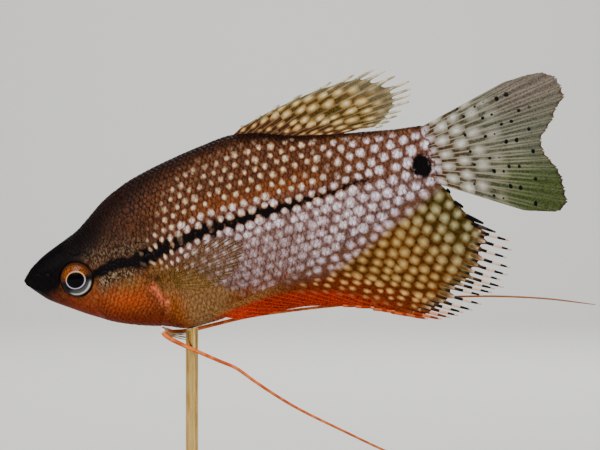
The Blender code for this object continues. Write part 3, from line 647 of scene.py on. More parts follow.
def bump(shader, height, depth, strength):
    """Fine relief, its depth in millimetres."""
    node = shader.id_data.nodes.new("ShaderNodeBump")
    node.inputs["Strength"].default_value = strength
    node.inputs["Distance"].default_value = depth * MILLIMETRE
    feed(node.inputs["Height"], height)
    feed(shader.inputs["Normal"], node.outputs[0])


print("patterns are turned with the fish by", round(math.degrees(NOSE_DOWN)), "degrees")

# %% [markdown]
# A pearl is a pale, ragged ellipse. On a map whose unit is the pearls' spacing, slanted cells
# with scattered middles give staggered rows that are never quite regular, and the distance to
# the nearest middle draws the pearl.

# %% Pearls from a map of cells
SLANT = 0.5
LEAST_LUCK, LUCK_SPREAD = 0.82, 0.40
RAGGED_SIZE = 0.8


def near_pearl(tree, lattice, wide, tall, ragged=0.9, shift=0.0):
    """
    1 at a pearl's middle and 0 at its edge: one less the length of (across / wide, along / tall)
    to the nearest middle, a little roughened and differing from pearl to pearl.
    """
    across, along = map_place(tree, lattice)
    along = plus(along, shift)
    slanted = tree.nodes.new("ShaderNodeCombineXYZ")
    feed(slanted.inputs[0], times_plus(along, SLANT, across))
    feed(slanted.inputs[1], along)
    cells = tree.nodes.new("ShaderNodeTexVoronoi")
    cells.voronoi_dimensions = "2D"
    cells.inputs["Scale"].default_value = 1.0
    cells.inputs["Randomness"].default_value = SCATTER
    feed(cells.inputs["Vector"], slanted.outputs[0])
    middle, luck = split(cells.outputs["Position"]), split(cells.outputs["Color"])
    x = divided(minus(across, times_plus(middle[1], -SLANT, middle[0])), wide)
    y = divided(minus(along, middle[1]), tall)
    length = square_root(plus(times(x, x), times(y, y)))
    length = times(length, times_plus(luck[0], LUCK_SPREAD, LEAST_LUCK))
    rough = times_plus(noise(tree, RAGGED_SIZE, 3), ragged, -0.5 * ragged)
    return minus(1.0, plus(length, rough)), luck[1]


print("a pearl's distances are multiplied by", LEAST_LUCK, "to", LEAST_LUCK + LUCK_SPREAD)

# %% [markdown]
# ## The colours of the body
# One function stacks the ground colours for both skin and scales. Brown lies under everything,
# and each marking brings in a darker and a lighter tone, mixed by fine specks that run up and
# down the flank as the edges of the scales do.

# %% Ground colour shared by skin and scales
TONES = (
    ("nape", (32, 13, 6), (80, 46, 28)),
    ("warm", (92, 40, 10), (144, 76, 30)),
    ("rear", (74, 37, 16), (126, 79, 48)),
    ("lilac", (92, 60, 50), (148, 116, 110)),
    ("gold", (110, 74, 38), (156, 114, 70)),
    ("brass", (72, 38, 4), (112, 74, 28)),
    ("honey", (112, 50, 8), (156, 84, 28)),
    ("rust", (96, 38, 5), (150, 78, 20)),
    ("orange", (84, 37, 14), (126, 70, 34)),
    ("ember", (138, 50, 14), (176, 82, 30)),
    ("tan", (98, 60, 20), (150, 104, 48)),
    ("throat", (88, 25, 8), (126, 48, 18)),
    ("chin", (26, 10, 7), (50, 22, 12)),
    ("dark", (13, 5, 4), (40, 20, 13)),
    ("night", (3, 2, 4), (13, 8, 9)),
    ("red", (120, 12, 1), (186, 46, 10)),
    ("flap", (160, 66, 34), (206, 112, 80)),
)
SPECK_SIZE, BLUSH_SIZE, FLECK_SIZE = 0.42, 1.5, 0.36


def ground_colour(tree):
    """
    Each tone goes from dark to light by the specks, and is laid over the ones before it by its
    marking. A blush on the orange and silver flecks come last. Gives the colour and the specks.
    """
    speck = between(noise(tree, SPECK_SIZE, 3, (0.8, 1, 1.9)), 0.30, 0.72)
    colour = blend(speck, (44, 17, 4), (104, 56, 22))
    for name, low, high in TONES:
        colour = blend(stored(tree, name), colour, blend(speck, low, high))
    blush = times(between(noise(tree, BLUSH_SIZE, 3), 0.46, 0.64), stored(tree, "orange"))
    colour = blend(times(blush, 0.22), colour, (150, 48, 16))
    silver = stored(tree, "silver")
    flecks = times(between(noise(tree, FLECK_SIZE, 2, (0.8, 1, 1.5)), 0.49, 0.60), silver)
    colour = blend(times(silver, 0.72), colour, (30, 17, 10))
    return blend(flecks, colour, (124, 108, 82)), speck


print(len(TONES), "tones over the brown")

# %% [markdown]
# Between the pearls the flank shows a net of plum, and the black line lies under them, so that
# they bite into its edges. Each pearl is a pale spot, dimmer and warmer at its rim, with a painted
# highlight in its middle.

# %% Pearls and black over the ground, and the skin material


def pearled(tree, colour, speck):
    """
    A dark net and the black markings over the ground, then the pearls: pale spots with a dim rim
    and a painted highlight in the middle, warm on the back, cool below and behind. Gives the colour
    and where pearls show.
    """
    fill, rear, allowed = (stored(tree, name) for name in ("fill", "rear", "pearl"))
    near, luck = near_pearl(tree, "pearls", times_plus(fill, 0.20, 0.35), times_plus(fill, 0.16, 0.47))
    net = times(between(near, 0.06, -0.10), allowed)
    colour = blend(times(net, times_plus(fill, 0.40, 0.15)), colour, (88, 62, 58))
    colour = blend(stored(tree, "black"), colour, (5, 4, 7))
    # The pale spots brighten to a painted highlight in their middles, nearly white on the rear pearls.
    warm = blend(between(near, 0.05, 1.0), (112, 68, 36), (248, 222, 186))
    cool = blend(between(near, 0.0, 1.0), (128, 98, 94), (232, 212, 218))
    pearl = blend(larger(stored(tree, "lilac"), rear), warm, cool)
    pearl = blend(times(rear, between(near, 0.15, 1.0)), pearl, (246, 240, 255))
    pearl = blend(times(between(speck, 0.8, 0.0), 0.42), pearl, (96, 62, 46))
    shown = times(between(near, -0.05, 0.26), allowed)
    shown = times(shown, between(times_plus(fill, 0.2, luck), 0.0, 0.10))
    return blend(shown, colour, pearl), shown


skin_look, tree, shader = new_material("gourami_skin", 0.45, IOR=1.12)
colour, speck = ground_colour(tree)
colour, _ = pearled(tree, colour, speck)
dye(shader, colour)
bump(shader, speck, 0.03, 0.5)
print("the skin's material has", len(tree.nodes), "nodes")

# %% [markdown]
# ## The scales' finish
# Every scale carries its own small map: across from -1 to 1, and along from its root at -1 to
# its free edge at 1. The free edge is a little darker, and fine ridges run back to it as they
# do on a real scale. The pearls go on across the scales, as colour under clear plates does.

# %% Scale material
RIDGES = 30.0

scale_look, tree, shader = new_material("gourami_scale", 0.42, IOR=1.14)
colour, speck = ground_colour(tree)
colour, shown = pearled(tree, colour, speck)
across, along = map_place(tree, "plate")
behind = larger(along, 0.0)
rim = plus(times(across, across), times(behind, behind))
edge = times(between(rim, 0.42, 1.0), stored(tree, "edged"))
edge = times(edge, times_plus(shown, -0.4, 1.0))
colour = blend(edge, colour, (34, 16, 10))
dye(shader, colour)
bump(shader, times_plus(sine(times(across, RIDGES)), 0.4, speck), 0.012, 0.5)
print("the scales' material has", len(tree.nodes), "nodes")

# %% [markdown]
# ## The skin
# One closed surface covers head, trunk and tail stalk. Stations lie closest where the relief is
# finest, at the snout, the eye and the gill edge.

# %% Make the skin
AROUND = 168
NOSE = (0.02, 0.0, -0.1)
stations = np.concatenate([
    np.linspace(0.25, 2.6, 34) ** 2,
    np.linspace(6.9, GILL_CUT - 0.6, 84)[1:],
    np.linspace(GILL_CUT - 0.55, GILL_CUT + 0.6, 14),
    np.linspace(GILL_CUT + 1.0, LENGTH, 110),
])
station_grid, turn_grid = np.meshgrid(stations, full_turn(AROUND), indexing="ij")
skin = skin_points(station_grid, turn_grid)
points = np.concatenate([skin.reshape(-1, 3), [NOSE], skin[-1].mean(axis=0)[None]])
lattice = pearl_map(station_grid, arc_at(station_grid, turn_grid)).reshape(-1, 2)
add_piece(
    "skin", over_stand(points), tube_faces(len(stations), AROUND), skin_look,
    ("head", "trunk", "tail_stalk"),
    values=markings(points[:, 0], points[:, 2]),
    maps={"pearls": np.concatenate([lattice, lattice[:1], lattice[-1:]])},
)

# %% [markdown]
# ## Laying scales on the body
# A scale is a thin round shield. A square grid is squeezed into a disc, which keeps all its
# faces of one size, and the shield rises from its root to its free edge. It is laid on the body
# point by point, so it bends with the flank and over the back, and its free edge lies over the
# root of the one behind it.

# %% One scale as a thin shield, laid many times
SHIELD_GRID = 5
SHIELD_DOME = 0.02
SHIELD_THICKNESS = 0.03
COLOUR_SPREAD = 0.25
PATCH = 0.0035
REVERSE_AT, RIM_AT, RIM_HEIGHT = (0, 1.2), (-0.5, 0.55), 0.1


def bake_patches(disc, face, rim_length):
    """A flat place for each face of a scale: its top, its under side, and its rim as a strip."""
    step = 1 / rim_length
    rim = np.array([[0, 0], [0, RIM_HEIGHT], [step, RIM_HEIGHT], [step, 0]]) + RIM_AT
    rims = rim[None] + np.array([step, 0]) * np.arange(rim_length)[:, None, None]
    half = disc[face] * 0.5
    return np.concatenate([half, half[:, ::-1] + REVERSE_AT, rims]) * PATCH


def shields(name, side, station, arc, length, height, turned, rise, jitter, edged):
    """For each root, the disc's (x, y) goes to (station + x length, arc + y height) and rises with x."""
    a, b = np.meshgrid(*[np.linspace(-1, 1, SHIELD_GRID)] * 2, indexing="ij")
    across = (a * np.sqrt(1 - b**2 / 2)).ravel()
    along = (b * np.sqrt(1 - a**2 / 2)).ravel()
    cosine, sine_of = np.cos(turned)[:, None], np.sin(turned)[:, None]
    where = station[:, None] + (along * cosine - across * sine_of) * length[:, None]
    where = np.clip(where, 0.3, LENGTH + 1.0)
    level = arc[:, None] + (across * cosine + along * sine_of) * height[:, None]
    turns = side * turn_at(where, level)
    lift = rise[0] + (rise[1] - rise[0]) * (along + 1) / 2 + SHIELD_DOME * (1 - across**2)
    top = skin_points(where, turns, lift[None] + SHIELD_THICKNESS)
    under = skin_points(where, turns, lift[None])
    count, size = len(station), SHIELD_GRID**2
    face, reverse, strip = sheet_faces(SHIELD_GRID, SHIELD_GRID)
    one = np.concatenate([face, reverse, strip])
    faces = (one[None] + 2 * size * np.arange(count)[:, None, None]).reshape(-1, 4)
    off = COLOUR_SPREAD * jitter[:, None]
    values = markings(top[..., 0] + off, top[..., 2] + off)
    values["edged"] = edged * (0.7 + 0.3 * jitter[:, None]) * (1 - 0.45 * values["gold"])
    disc = np.stack([across, along], -1)
    root = np.stack([0.02 + station / 90, 0.5 + arc / 60], -1)
    patches = root[:, None, None] + bake_patches(disc, face, len(strip))[None]
    add_piece(
        name, over_stand(np.stack([top, under], axis=1).reshape(-1, 3)), faces, scale_look,
        values={key: np.repeat(part[:, None], 2, axis=1) for key, part in values.items()},
        maps={
            "plate": np.tile(disc, (2 * count, 1)),
            "pearls": np.repeat(pearl_map(where, level)[:, None], 2, axis=1).reshape(-1, 2),
        },
        corner_maps={"OFBake": patches.reshape(-1, 4, 2)},
    )


print("one scale has", sum(map(len, sheet_faces(SHIELD_GRID, SHIELD_GRID))), "faces")

# %% [markdown]
# On the body the rows run from the gill to the tail, each half a scale ahead of the next. A
# seeded draw shifts, turns and sizes them a little, as on any living fish.

# %% Scales of trunk and tail stalk
PITCH, ROW = 0.98, 1.06
ROWS_EACH_WAY, EDGE_MARGIN = 28, 0.25
SHIFT = 0.05
draw = np.random.default_rng(21)


def scale_roots(first, pitch, row_height, columns):
    """Station and distance from the line of every root, kept between the belly and the back."""
    rows = np.arange(-ROWS_EACH_WAY, ROWS_EACH_WAY + 1)
    row, column = np.meshgrid(rows, np.arange(columns), indexing="ij")
    station = first + pitch * (column + 0.5 * (row % 2))
    arc = row_height * row.astype(float)
    inside = (station > 2.0) & (station < LENGTH - 0.4)
    inside &= arc < np.interp(station, table_stations, back_arc) + EDGE_MARGIN
    inside &= -arc < np.interp(station, table_stations, belly_arc) + EDGE_MARGIN
    return station[inside], arc[inside]


def trunk_scales(name, side):
    """Rows of scales from just behind the gill cut to the tail, on one flank."""
    station, arc = scale_roots(GILL_CUT + 1.0, PITCH, ROW, 64)
    count = len(station)
    size = draw.uniform(0.94, 1.07, count)
    station = station + draw.normal(0, SHIFT, count)
    arc = arc + draw.normal(0, SHIFT, count)
    turned = draw.normal(0, 0.06, count)
    jitter = draw.uniform(-1, 1, count)
    shields(name, side, station, arc, 1.00 * size, 0.80 * size, turned, (-0.05, 0.08), jitter, 0.72)


trunk_scales("scales_left", -1)
trunk_scales("scales_right", 1)

# %% [markdown]
# The head is scaled too, more finely, over the nape, the cheek and the gill cover. The snout,
# the lips, the ring round the eye and the flap of the gill cover are bare.

# %% Scales of the head
HEAD_PITCH, HEAD_ROW = 0.72, 0.76
BARE_EYE, BARE_SNOUT = 5.2, 9.0


def head_scales(name, side):
    """Finer rows that run forward from the gill cut, left out where the head is bare."""
    station, arc = scale_roots(GILL_CUT - 1.0, -HEAD_PITCH, HEAD_ROW, 30)
    place = body(station, turn_at(station, arc))
    ring = np.hypot(place[:, 0] - EYE[0], place[:, 2] - EYE[1])
    front = BARE_SNOUT + 0.25 * np.abs(place[:, 2] - 1) + 1.0 * (place[:, 2] < -5)
    bare = markings(place[:, 0], place[:, 2])["flap"] > 0.45
    keep = (ring > BARE_EYE) & (place[:, 0] > front) & ~bare
    station, arc = station[keep], arc[keep]
    count = len(station)
    size = draw.uniform(0.92, 1.06, count)
    turned = draw.normal(0, 0.08, count)
    jitter = draw.uniform(-1, 1, count)
    station = station + draw.normal(0, SHIFT, count)
    arc = arc + draw.normal(0, SHIFT, count)
    shields(name, side, station, arc, 0.73 * size, 0.62 * size, turned, (-0.06, 0.035), jitter, 0.62)


head_scales("head_scales_left", -1)
head_scales("head_scales_right", 1)

# %% [markdown]
# ## The eyes
# A fish's eye has no lids. It is a flattened ball set in the socket, with a wide black pupil, a
# thin bright ring, and an iris that is orange above, black before and behind, and has a silver
# crescent below. A clear coat on the shader gives the wet shine.

# %% Eye material
eye_look, tree, shader = new_material("gourami_eye", 0.25, IOR=1.12, Coat_Weight=0.05, Coat_Roughness=0.08)
fibre = noise(tree, 0.25, 3)
colour = blend(fibre, (36, 18, 10), (70, 38, 18))
for name, tone in (
    ("amber", blend(between(fibre, 0.36, 0.66), (56, 24, 8), (144, 76, 26))),
    ("soot", (5, 5, 8)),
    ("haze", (96, 100, 92)),
    ("mirror", (214, 206, 200)),
    ("gilt", (232, 170, 112)),
    ("pale_ring", (206, 198, 236)),
    ("pupil", (1, 1, 2)),
):
    colour = blend(stored(tree, name), colour, tone)
dye(shader, colour)
print("the eye's material has", len(tree.nodes), "nodes")

# %% [markdown]
# The ball is built in the flank's own directions: ahead, above and outwards. Its front is finely
# divided, because pupil, ring and crescent are drawn by the points that it has.

# %% Eyes
PUPIL = np.array([10.75, -2.66])
PUPIL_RADIUS, RING_RADIUS, CRESCENT_RADIUS = 1.80, 1.92, 2.93
EYE_RADIUS, EYE_DEPTH, EYE_SUNK = 3.72, 2.25, 1.1
BULGE, POLE_BULGE = 0.22, 0.2
EYE_FRONT, EYE_BACK, EYE_SIDES = 64, 9, 96


def iris_marks(x, y):
    """Rings and crescents by the distance from the pupil, the ball's edge and the way they face."""
    dx, dy = x + EYE[0] - PUPIL[0], y + EYE[1] - PUPIL[1]
    ring, edge = np.hypot(dx, 1.14 * dy), np.hypot(x, y)
    lean = dy / np.maximum(ring, 1e-6)
    below = (0.25 * dx - dy) / np.maximum(ring, 1e-6)
    bright = bell(ring, RING_RADIUS, 0.085)
    return {
        "amber": soft(lean, 0.05, 0.5) * soft(3.30 - edge, 0, 1.0),
        "soot": np.maximum(soft(0.22 - lean, 0, 0.3) * soft(ring, 1.95, 2.2), soft(edge, 3.2, 3.45)),
        "haze": 0.55 * soft(below, 0.35, 0.85) * soft(ring, 2.05, 2.5) * soft(3.25 - edge, 0, 0.3),
        "mirror": soft(below, 0.45, 0.80) * bell(edge, CRESCENT_RADIUS, 0.15),
        "gilt": bright * soft(lean, -0.4, 0.5),
        "pale_ring": bright * soft(-lean, -0.5, 0.4),
        "pupil": soft(PUPIL_RADIUS - ring, 0, 0.08),
    }


def make_eye(name, side, stands_for):
    """A ball of tilt and turn, flattened along the flank's normal, its iris drawn from the pupil."""
    where = side * flank_turn(*EYE)
    normal = outward(EYE[0], where)
    ahead = unit(np.array([1.0, 0, 0]) - normal * normal[0])
    above = np.cross(ahead, normal)
    above = above * np.sign(above[2])
    centre = body(EYE[0], where) - normal * EYE_SUNK
    front = np.linspace(0, math.pi / 2, EYE_FRONT + 2)[1:-1]
    tilt = np.concatenate([front, np.linspace(math.pi / 2, math.pi, EYE_BACK + 1)[:-1]])[:, None]
    turn = full_turn(EYE_SIDES)[None]
    x = EYE_RADIUS * np.sin(tilt) * np.cos(turn)
    y = EYE_RADIUS * np.sin(tilt) * np.sin(turn)
    bulge = BULGE * bell(np.hypot(x + 0.5, y + 0.1), 0, 1.9)
    z = (EYE_DEPTH + bulge) * np.cos(tilt)
    flat = np.stack([x, y, z], -1).reshape(-1, 3)
    flat = np.concatenate([flat, [[0, 0, EYE_DEPTH + POLE_BULGE], [0, 0, -EYE_DEPTH]]])
    points = centre + flat[:, :1] * ahead + flat[:, 1:2] * above + flat[:, 2:] * normal
    faces, values = tube_faces(len(tilt), EYE_SIDES), iris_marks(flat[:, 0], flat[:, 1])
    add_piece(name, over_stand(points), faces, eye_look, (stands_for,), values)


make_eye("eyeball_left", -1, "eye_left")
make_eye("eyeball_right", 1, "eye_right")

# %% [markdown]
# ## Fins
# A fin is a membrane about a tenth of a millimetre thick on a fan of rays. Each ray is a bow
# through three points: its root on the body, a middle and a tip. The rays differ a little, so a
# seeded draw makes each end a bit short of the fin's outline or a bit past it.

# %% Rays as bows
SIDE = np.array([0.0, 1.0, 0.0])
ROOT_SUNK, RAY_ENDS = (-0.5, 2.0), 0.028
draw = np.random.default_rng(5)


def bow_rays(root, tip, bend):
    """The middle point of each ray: half its chord, turned off the straight line by the bend."""
    x, y, z = np.moveaxis(tip - root, -1, 0)
    cosine, sine_of = math.cos(bend), math.sin(bend)
    turned = np.stack([x * cosine + z * sine_of, y, z * cosine - x * sine_of], -1)
    return root + turned * 0.5 / cosine


def uneven(root, tip, spread):
    """Neighbouring rays end a little short of the outline or a little past it."""
    return root + (tip - root) * (1 + draw.uniform(-spread, spread, len(root)))[:, None]


def flat_rays(root, ends, spread, bend, reach, **looks):
    """Rays in the fish's middle plane, from their roots to uneven ends (along, height)."""
    tip = uneven(root, np.stack([ends[:, 0], 0 * ends[:, 0], ends[:, 1]], -1), spread)
    middle = bow_rays(root, tip, bend)
    return {"root": root, "tip": tip, "middle": middle, "reach": reach, "flat": True, **looks}


def midline_rays(start, end, count, edge, tips, reach, bend, **looks):
    """Rays rooted in a row inside the back (edge 0) or the belly (edge 1)."""
    shares = np.linspace(0, 1, count)
    along = np.linspace(start, end, count)
    root = np.stack([along, 0 * along, section(along)[edge] + ROOT_SUNK[edge]], -1)
    return flat_rays(root, read(tips, shares), RAY_ENDS, bend, read(reach, shares)[:, 0], **looks)


def at_ray(values, number):
    """Reads values given for each ray at any number between the rays."""
    values = np.asarray(values, float)
    table = np.column_stack([np.arange(len(values)), values])
    found = read(table, number)
    return found if values.ndim > 1 else found[..., 0]


def ray_places(fin, number, share):
    """A point of each bow: root (1-s)^2 + middle 2 s (1-s) + tip s^2, at share s of the ray."""
    root, middle, tip = (at_ray(fin[key], number)[:, None] for key in ("root", "middle", "tip"))
    share = share[..., None]
    return root * (1 - share) ** 2 + middle * 2 * share * (1 - share) + tip * share**2


print("between two rays at 0 and 1:", at_ray([0.0, 1.0], np.array([0.5])))

# %% [markdown]
# A surface over ray number and share of the ray's length gives the membrane, and it swells
# along each ray. Soft rays fork twice towards the edge, while spines do not.

# %% Membrane of a fin
COLUMNS = 8
FORK_WIDTHS = (0.21, 0.10)
RAY_WIDTH, BRANCH_THINNER = 0.105, 0.045


def fork(off, share, fork_at, soft_ray):
    """How near a point is to a ray or a branch of it: bells round the branches, in ray spacings."""
    first = FORK_WIDTHS[0] * soft(share, fork_at, fork_at + 0.35) * soft_ray
    second = FORK_WIDTHS[1] * soft(share, fork_at + 0.3, fork_at + 0.6) * soft_ray
    width = RAY_WIDTH - BRANCH_THINNER * soft(share, fork_at, 0.9) * soft_ray
    branches = [bell(off, a * first + b * second, width) for a in (-1, 1) for b in (-1, 1)]
    return np.maximum.reduce(branches)


def ledge(size):
    """A swelling of this size at the root, which falls to a third in 1.1 mm."""
    return lambda places, distance: size * np.exp(-distance / 1.1)


def make_fin(
    name, fin, material, stands_for, marks, lattice, rows,
    thin=0.045, ridge=0.11, swell=ledge(0.5), flank=None,
):
    """Both faces lie off the membrane's middle by thin + ridge on a ray + swell near the root."""
    count = len(fin["root"])
    number = np.linspace(0, count - 1, (count - 1) * COLUMNS + 1)
    off = number - np.round(number)
    soft_ray = soft(number, fin["spines"] - 0.6, fin["spines"] + 0.2)
    share = np.linspace(0, 1, rows)[None]
    near = fork(off[:, None], share, fin["fork_at"], soft_ray[:, None])
    notch = 1 - fin["notch"] * (1 - near[:, -1])
    reach = at_ray(fin["reach"], number) * notch
    middle = ray_places(fin, number, share * reach[:, None])
    normal = np.broadcast_to(SIDE, middle.shape)
    if not fin["flat"]:
        normal = unit(np.cross(np.gradient(middle, axis=1), np.gradient(middle, axis=0)))
    length = np.linalg.norm(at_ray(fin["tip"], number) - at_ray(fin["root"], number), axis=-1)
    distance = share * (reach * length)[:, None]
    thick = thin + ridge * near * (1 - 0.6 * share) + swell(middle, distance)
    off_middle = thick[..., None] * normal
    points = np.stack([middle + off_middle, middle - off_middle]).reshape(-1, 3)
    spread = np.broadcast_to(number[:, None], near.shape)
    values = {"ray": near, **marks(middle, distance, share)}
    values = {key: np.tile(np.broadcast_to(part, near.shape).ravel(), 2) for key, part in values.items()}
    place = np.stack(np.broadcast_arrays(*lattice(middle, spread, distance)), -1).reshape(-1, 2)
    maps = {"pearls": np.tile(place + [0, CELL_SHIFT], (2, 1))}
    if flank:
        maps["flank"] = np.tile(flank(middle).reshape(-1, 2), (2, 1))
    faces = np.concatenate(sheet_faces(len(number), rows))
    add_piece(name, over_stand(points), faces, material, stands_for, values, maps)


print("between two rays the ridge falls to", round(float(bell(0.5, 0, RAY_WIDTH)), 3))

# %% [markdown]
# Past the membrane each ray goes on as a fine round thread. Threads know how far it is to
# their tip, which ray they belong to, and a random number, so that they can be banded.

# %% Free tips of the rays
TIP_RINGS, TIP_SIDES, TIP_START = 14, 6, 0.88


def free_tips(name, fin, material, rays, radius):
    """Round tapering threads along the last stretch of each of these rays."""
    start = fin["reach"][rays][:, None] * TIP_START
    u = np.linspace(0, 1, TIP_RINGS)[None]
    centre = ray_places(fin, rays.astype(float), start + (1 - start) * u)
    forward = unit(np.gradient(centre, axis=1))
    across = unit(np.cross(forward, SIDE))
    turn = full_turn(TIP_SIDES)[:, None]
    circle = np.cos(turn) * across[:, :, None] + np.sin(turn) * SIDE
    taper = np.broadcast_to(radius, len(rays))[:, None] * (1 - 0.6 * u**3)
    rim = centre[:, :, None] + taper[..., None, None] * circle
    count, each = len(rays), TIP_RINGS * TIP_SIDES + 2
    points = np.concatenate([rim.reshape(count, -1, 3), centre[:, :1], centre[:, -1:]], axis=1)
    faces = tube_faces(TIP_RINGS, TIP_SIDES)[None] + each * np.arange(count)[:, None, None]
    left = np.linalg.norm(centre - centre[:, -1:], axis=-1)
    left = np.concatenate([np.repeat(left, TIP_SIDES, axis=1), left[:, :1], left[:, -1:]], axis=1)
    values = {
        "left": left,
        "number": np.repeat(rays / (len(fin["root"]) - 1), each),
        "luck": np.repeat(draw.random(count), each),
    }
    points, faces = over_stand(points.reshape(-1, 3)), faces.reshape(-1, 4)
    add_piece(name, points, faces, material, values=values)


print("a thread has", len(tube_faces(TIP_RINGS, TIP_SIDES)), "faces")

# %% [markdown]
# ## Fin finish
# Membranes let light through, rays less, and pearls hardly at all. One function makes the
# material of every fin from its web, ray and pearl colours, and from layers of tone that are
# laid over the web by the fin's own markings.

# %% Fin material


def fin_look(name, web, ray, pearl, size, clear, ray_cover=0.95, layers=(), dots=None, flank=False):
    """
    Web, layers, pearls with a painted highlight in their middles, hem, rays and ink, each laid over
    the ones before it. The alpha is the largest cover of all of them, so light comes through only
    where there is nothing but web.
    largest cover of all of them, so light comes through only where there is nothing but web.
    """
    made, tree, shader = new_material(name, 0.42, IOR=1.12)
    grain = between(noise(tree, 0.30, 3), 0.36, 0.64)
    named = ("lilac", "rust", "moss", "pearl", "ray", "hem", "ink")
    lilac, rust, moss, allowed, on_ray, hem, ink = (stored(tree, key) for key in named)
    near, _ = near_pearl(tree, "pearls", *size, ragged=0.6)
    if flank:
        body_near, _ = near_pearl(tree, "flank", 0.48, 0.54)
        near = times_plus(minus(body_near, near), lilac, near)
    near = times_plus(rust, -0.32, near)
    colour = blend(grain, *web)
    solid = times_plus(grain, 0.10, clear)
    for key, low, high, cover in layers:
        colour = blend(stored(tree, key), colour, blend(grain, low, high))
        solid = larger(solid, times(stored(tree, key), cover))
    solid = times(solid, minus(1.0, stored(tree, "thin")))
    shown = times(between(near, -0.08, 0.22), allowed)
    # Each pearl is a pale spot that brightens from a dim rim to a painted highlight in its middle.
    pearl_and_highlight = blend(between(near, 0.1, 1.4), *pearl)
    leaf = blend(between(near, 0.1, 1.3), (70, 58, 22), (176, 170, 128))
    rust_pearl_and_highlight = blend(between(near, 0.0, 0.9), (104, 48, 10), (224, 178, 112))
    cool = blend(between(near, 0.05, 1.0), (118, 88, 80), (214, 200, 214))
    cool = blend(times(between(grain, 0.8, 0.0), 0.42), cool, (96, 62, 46))
    for factor, kind in ((moss, leaf), (rust, rust_pearl_and_highlight), (lilac, cool)):
        pearl_and_highlight = blend(factor, pearl_and_highlight, kind)
    colour = blend(shown, colour, pearl_and_highlight)
    rays = times(on_ray, times_plus(shown, -0.4, 0.85))
    colour = blend(hem, colour, (30, 24, 12))
    strand = blend(hem, ray, (206, 160, 116))
    colour = blend(times(rays, stored(tree, "ray_tone")), colour, strand)
    if dots:
        amid, _ = near_pearl(tree, "pearls", *dots, shift=0.5)
        inside, _ = near_pearl(tree, "pearls", *dots)
        ink = times(between(larger(amid, minus(inside, allowed)), 0.0, 0.25), ink)
    colour = blend(ink, colour, (8, 8, 12))
    for cover in (ink, times(on_ray, ray_cover), shown, stored(tree, "foot")):
        solid = larger(solid, cover)
    dye(shader, colour)
    feed(shader.inputs["Alpha"], smaller(solid, 1.0))
    bump(shader, plus(grain, shown), 0.02, 0.4)
    print(name, "has", len(tree.nodes), "nodes")
    return made


# %% [markdown]
# ## The anal fin
# The longest fin runs under the whole rear half of the body. It is red along its front, olive
# brown behind, and strewn with pearls that are round near the body and drawn out along the rays
# below. Its pearls lie on a map of two directions, along the rays and across them.

# %% Anal fin
ANAL_TIPS = (
    (0.00, 41.0, -19.6), (0.10, 52.0, -20.4), (0.20, 62.0, -22.9), (0.30, 70.5, -26.6),
    (0.38, 76.0, -29.7), (0.45, 80.0, -30.1), (0.52, 84.0, -30.4), (0.60, 88.3, -28.4),
    (0.70, 91.7, -27.0), (0.80, 94.2, -23.0), (0.87, 95.2, -19.0), (0.92, 92.9, -16.0),
    (0.96, 89.3, -11.3), (1.00, 86.8, -6.6),
)
ANAL_REACH = (
    (0.00, 0.86), (0.10, 0.95), (0.38, 0.92), (0.45, 0.88), (0.52, 0.84), (0.60, 0.81), (0.70, 0.80),
    (0.80, 0.79), (0.87, 0.80), (0.92, 0.83), (0.96, 0.86), (1.00, 0.88),
)
ANAL_RAYS = 33
RAY_SLANT = math.radians(36)
ACROSS_SPACING = (
    (0, 1.05), (12, 1.15), (20, 1.3), (25, 1.45), (28, 1.75), (32, 2.15), (37, 2.35), (50, 2.4),
)
ALONG_SPACING = 2.45

anal = midline_rays(
    34.0, 84.6, ANAL_RAYS, 1, ANAL_TIPS, ANAL_REACH, math.radians(9),
    notch=0.04, spines=11, fork_at=0.62,
)
across_walk = walk(ACROSS_SPACING, 50.0)


def anal_lattice(places, number, distance):
    """Distance across the rays in spacings walked, and along them in equal spacings."""
    along, height = places[..., 0], places[..., 2]
    across = along * math.sin(RAY_SLANT) + height * math.cos(RAY_SLANT)
    down = along * math.cos(RAY_SLANT) - height * math.sin(RAY_SLANT)
    return np.interp(across, *across_walk), down / ALONG_SPACING


def keel_swell(places, distance):
    """Half thickness of a foot that carries the flank on: 0.54 half widths, a third less in 2 mm."""
    _, belly, half, _ = section(places[..., 0])
    return 0.54 * half * np.exp((places[..., 2] - belly - 3) / 5)


def flank_map(places):
    """The flank's own pearl rows, carried on below the belly as straight lines."""
    along, height = np.clip(places[..., 0], 1.0, LENGTH), places[..., 2]
    above = np.maximum(height, section(along)[1] + 1.2)
    return pearl_map(along, arc_at(along, flank_turn(along, above)) - (above - height))


print("anal fin:", ANAL_RAYS, "rays over", round(float(across_walk[1][-1]), 1), "pearl spacings")

# %% [markdown]
# Near its root the fin carries the flank's scaly colours on. Below them come moss green behind,
# rust and red in front, and a hem where the rays turn pale.

# %% Markings of the anal fin


def anal_marks(places, distance, share):
    """The body's own markings, with red streaks along the lower edge and black behind."""
    along, height = places[..., 0], places[..., 2]
    same = markings(along, height)
    above_red = soft(height - read(RED_EDGE, along)[..., 0], -1.5, 2.0)
    behind = soft(along, 80, 86) * soft(share, 0.90, 1.0)
    lower = 0.7 * soft(share, 0.80, 1.0) * soft(76 - along, 0, 12)
    return {
        "lilac": soft(height - read(LILAC_EDGE, along)[..., 0], -1.0, 1.6) * soft(along, 42, 50),
        "moss": soft(along + 0.5 * height, 66, 82),
        "gold": soft(58 - along, 0, 14),
        "rust": same["rust"] * soft(88 - along, 0, 20) * soft(along, 40, 56),
        "flush": same["red"] * bell(along, 38, 5),
        "red": same["red"],
        "hem": soft(share, 0.86, 0.98) * soft(along, 66, 74),
        "pearl": (above_red * 0.9 + 0.1 * soft(along, 56, 70)) * soft(along, 48, 58),
        "ray_tone": np.maximum(np.maximum(0.10 + 0.3 * same["red"], lower), soft(share, 0.80, 0.96)),
        "ink": 0.8 * behind * soft(height, -21, -18) * soft(share, 0.92, 1.0),
        "foot": soft(3.0 - distance, 0, 3.0),
    }


